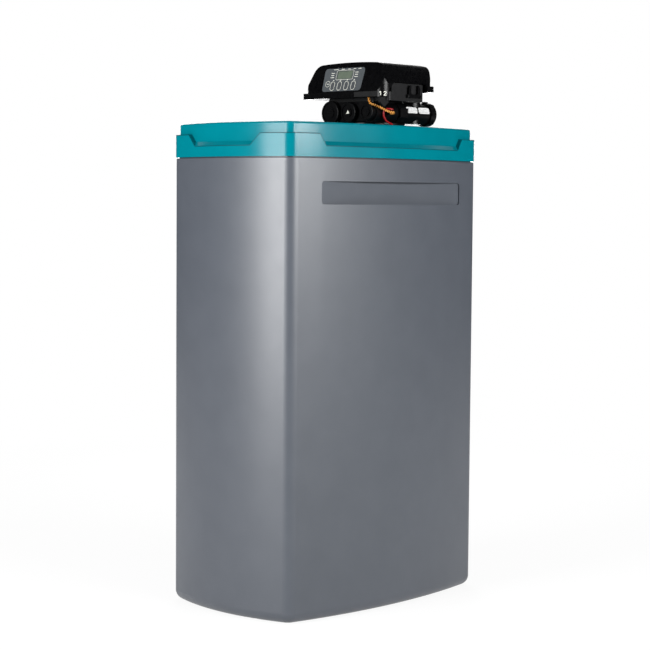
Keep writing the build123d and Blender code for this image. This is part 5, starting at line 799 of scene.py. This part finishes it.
corners = np.radians([90.0, 210.0, 330.0])
ray = np.stack([np.cos(corners), np.sin(corners)], -1)
triangle = ray * capMark["size"] + np.array(capMark["middle"])
platesPiece("cap_mark", [triangle], -capMark["depth"], 0.0, onCap, "printWhite", "cabinet")
print("caps finished")

# The cabinet's plan in points, each with its outward normal. By the angle of the normal, a quarter of it is
# a side bow, a corner arc about the point where the two bows drawn in by the corner's radius meet, and a
# front bow. The other quarters mirror it
planLook = {"width": 321.0, "depth": 525.0, "frontBow": 30.4, "sideBow": 30.3, "corner": 26.5}


def bowRadius(half, rise):
    return (half * half + rise * rise) / (2 * rise)


def cabinetPlan(look, steps):
    halfWidth, halfDepth = look["width"] / 2, look["depth"] / 2
    frontRadius = bowRadius(halfWidth, look["frontBow"])
    sideRadius = bowRadius(halfDepth, look["sideBow"])
    frontCentre = np.array([0.0, halfDepth + look["frontBow"] - frontRadius])
    sideCentre = np.array([halfWidth + look["sideBow"] - sideRadius, 0.0])
    # where the two drawn-in circles meet, from the distance of their centres
    front, side = frontRadius - look["corner"], sideRadius - look["corner"]
    between = frontCentre - sideCentre
    span = np.hypot(*between)
    along = (span * span + side * side - front * front) / (2 * span)
    across = math.sqrt(side * side - along * along)
    unit = between / span
    meet = sideCentre + along * unit + across * np.array([-unit[1], unit[0]])
    sideTurn = math.atan2(*(meet - sideCentre)[::-1])
    frontTurn = math.atan2(*(meet - frontCentre)[::-1])
    arcs = []
    for centre, radius, start, stop in ((sideCentre, sideRadius, 0.0, sideTurn),
                                        (meet, look["corner"], sideTurn, frontTurn),
                                        (frontCentre, frontRadius, frontTurn, math.pi / 2)):
        turn = np.linspace(start, stop, steps)[:-1]
        normal = np.stack([np.cos(turn), np.sin(turn)], -1)
        arcs.append(np.concatenate([centre + radius * normal, normal], 1))
    quarter = np.concatenate(arcs)
    end = np.array([[0.0, halfDepth + look["frontBow"], 0.0, 1.0]])
    mirrored = quarter[::-1] * [-1.0, 1.0, -1.0, 1.0]
    half = np.concatenate([quarter, end, mirrored])[:-1]
    return np.concatenate([half, -half])


# A band round the plan: each corner of its section has a way in along the normal and a height
def bandPiece(name, plan, section, material):
    rings = [np.column_stack([plan[:, :2] - inset * plan[:, 2:], np.zeros(len(plan)) + height])
             for inset, height in section]
    gridPiece(name, np.stack(rings, 1), material, "cabinet")
    print(name, "made with", len(plan), "steps round")


# The tub's rim fills most of the gap under the cover
rimLook = {"steps": 40, "face": 0.1, "inner": 6.3, "foot": 856.0, "top": 864.0, "chamfer": 1.2}
face, inner, foot, top, chamfer = (rimLook[part] for part in ("face", "inner", "foot", "top", "chamfer"))
rimSection = [(inner, foot), (face, foot), (face, top - chamfer), (face + chamfer, top), (inner, top)]
plan = cabinetPlan(planLook, rimLook["steps"])
bandPiece("shoulder_rim", plan, rimSection, "tubPlastic")

# Painted shade: a dark strip stands for the shade in the gap along the top edge of the cover's skirt and
# follows its dips.
# On each wall the edge is low up to the first of the dip's two ends and rises in a straight line to the
# second
gapShadeLook = {
    "low": 886.6, "high": 909.0, "frontDip": (75.0, 98.0), "sideDip": (188.0, 203.0), "steps": 140,
    "proud": 1.12, "sunk": 0.6, "width": 1.5,
}
plan = cabinetPlan(planLook, gapShadeLook["steps"])
edges = [gapShadeLook["low"], gapShadeLook["high"]]
onFront = np.abs(plan[:, 3]) > np.abs(plan[:, 2])
gapShadeTop = np.where(onFront, np.interp(np.abs(plan[:, 0]), gapShadeLook["frontDip"], edges),
                   np.interp(np.abs(plan[:, 1]), gapShadeLook["sideDip"], edges))
gapShadeFoot = gapShadeTop - gapShadeLook["width"]
gapShadeSection = [(-gapShadeLook["sunk"], gapShadeFoot), (-gapShadeLook["proud"], gapShadeFoot),
               (-gapShadeLook["proud"], gapShadeTop), (-gapShadeLook["sunk"], gapShadeTop)]
bandPiece("skirt_gap_shade", plan, gapShadeSection, "gapShadePlastic")
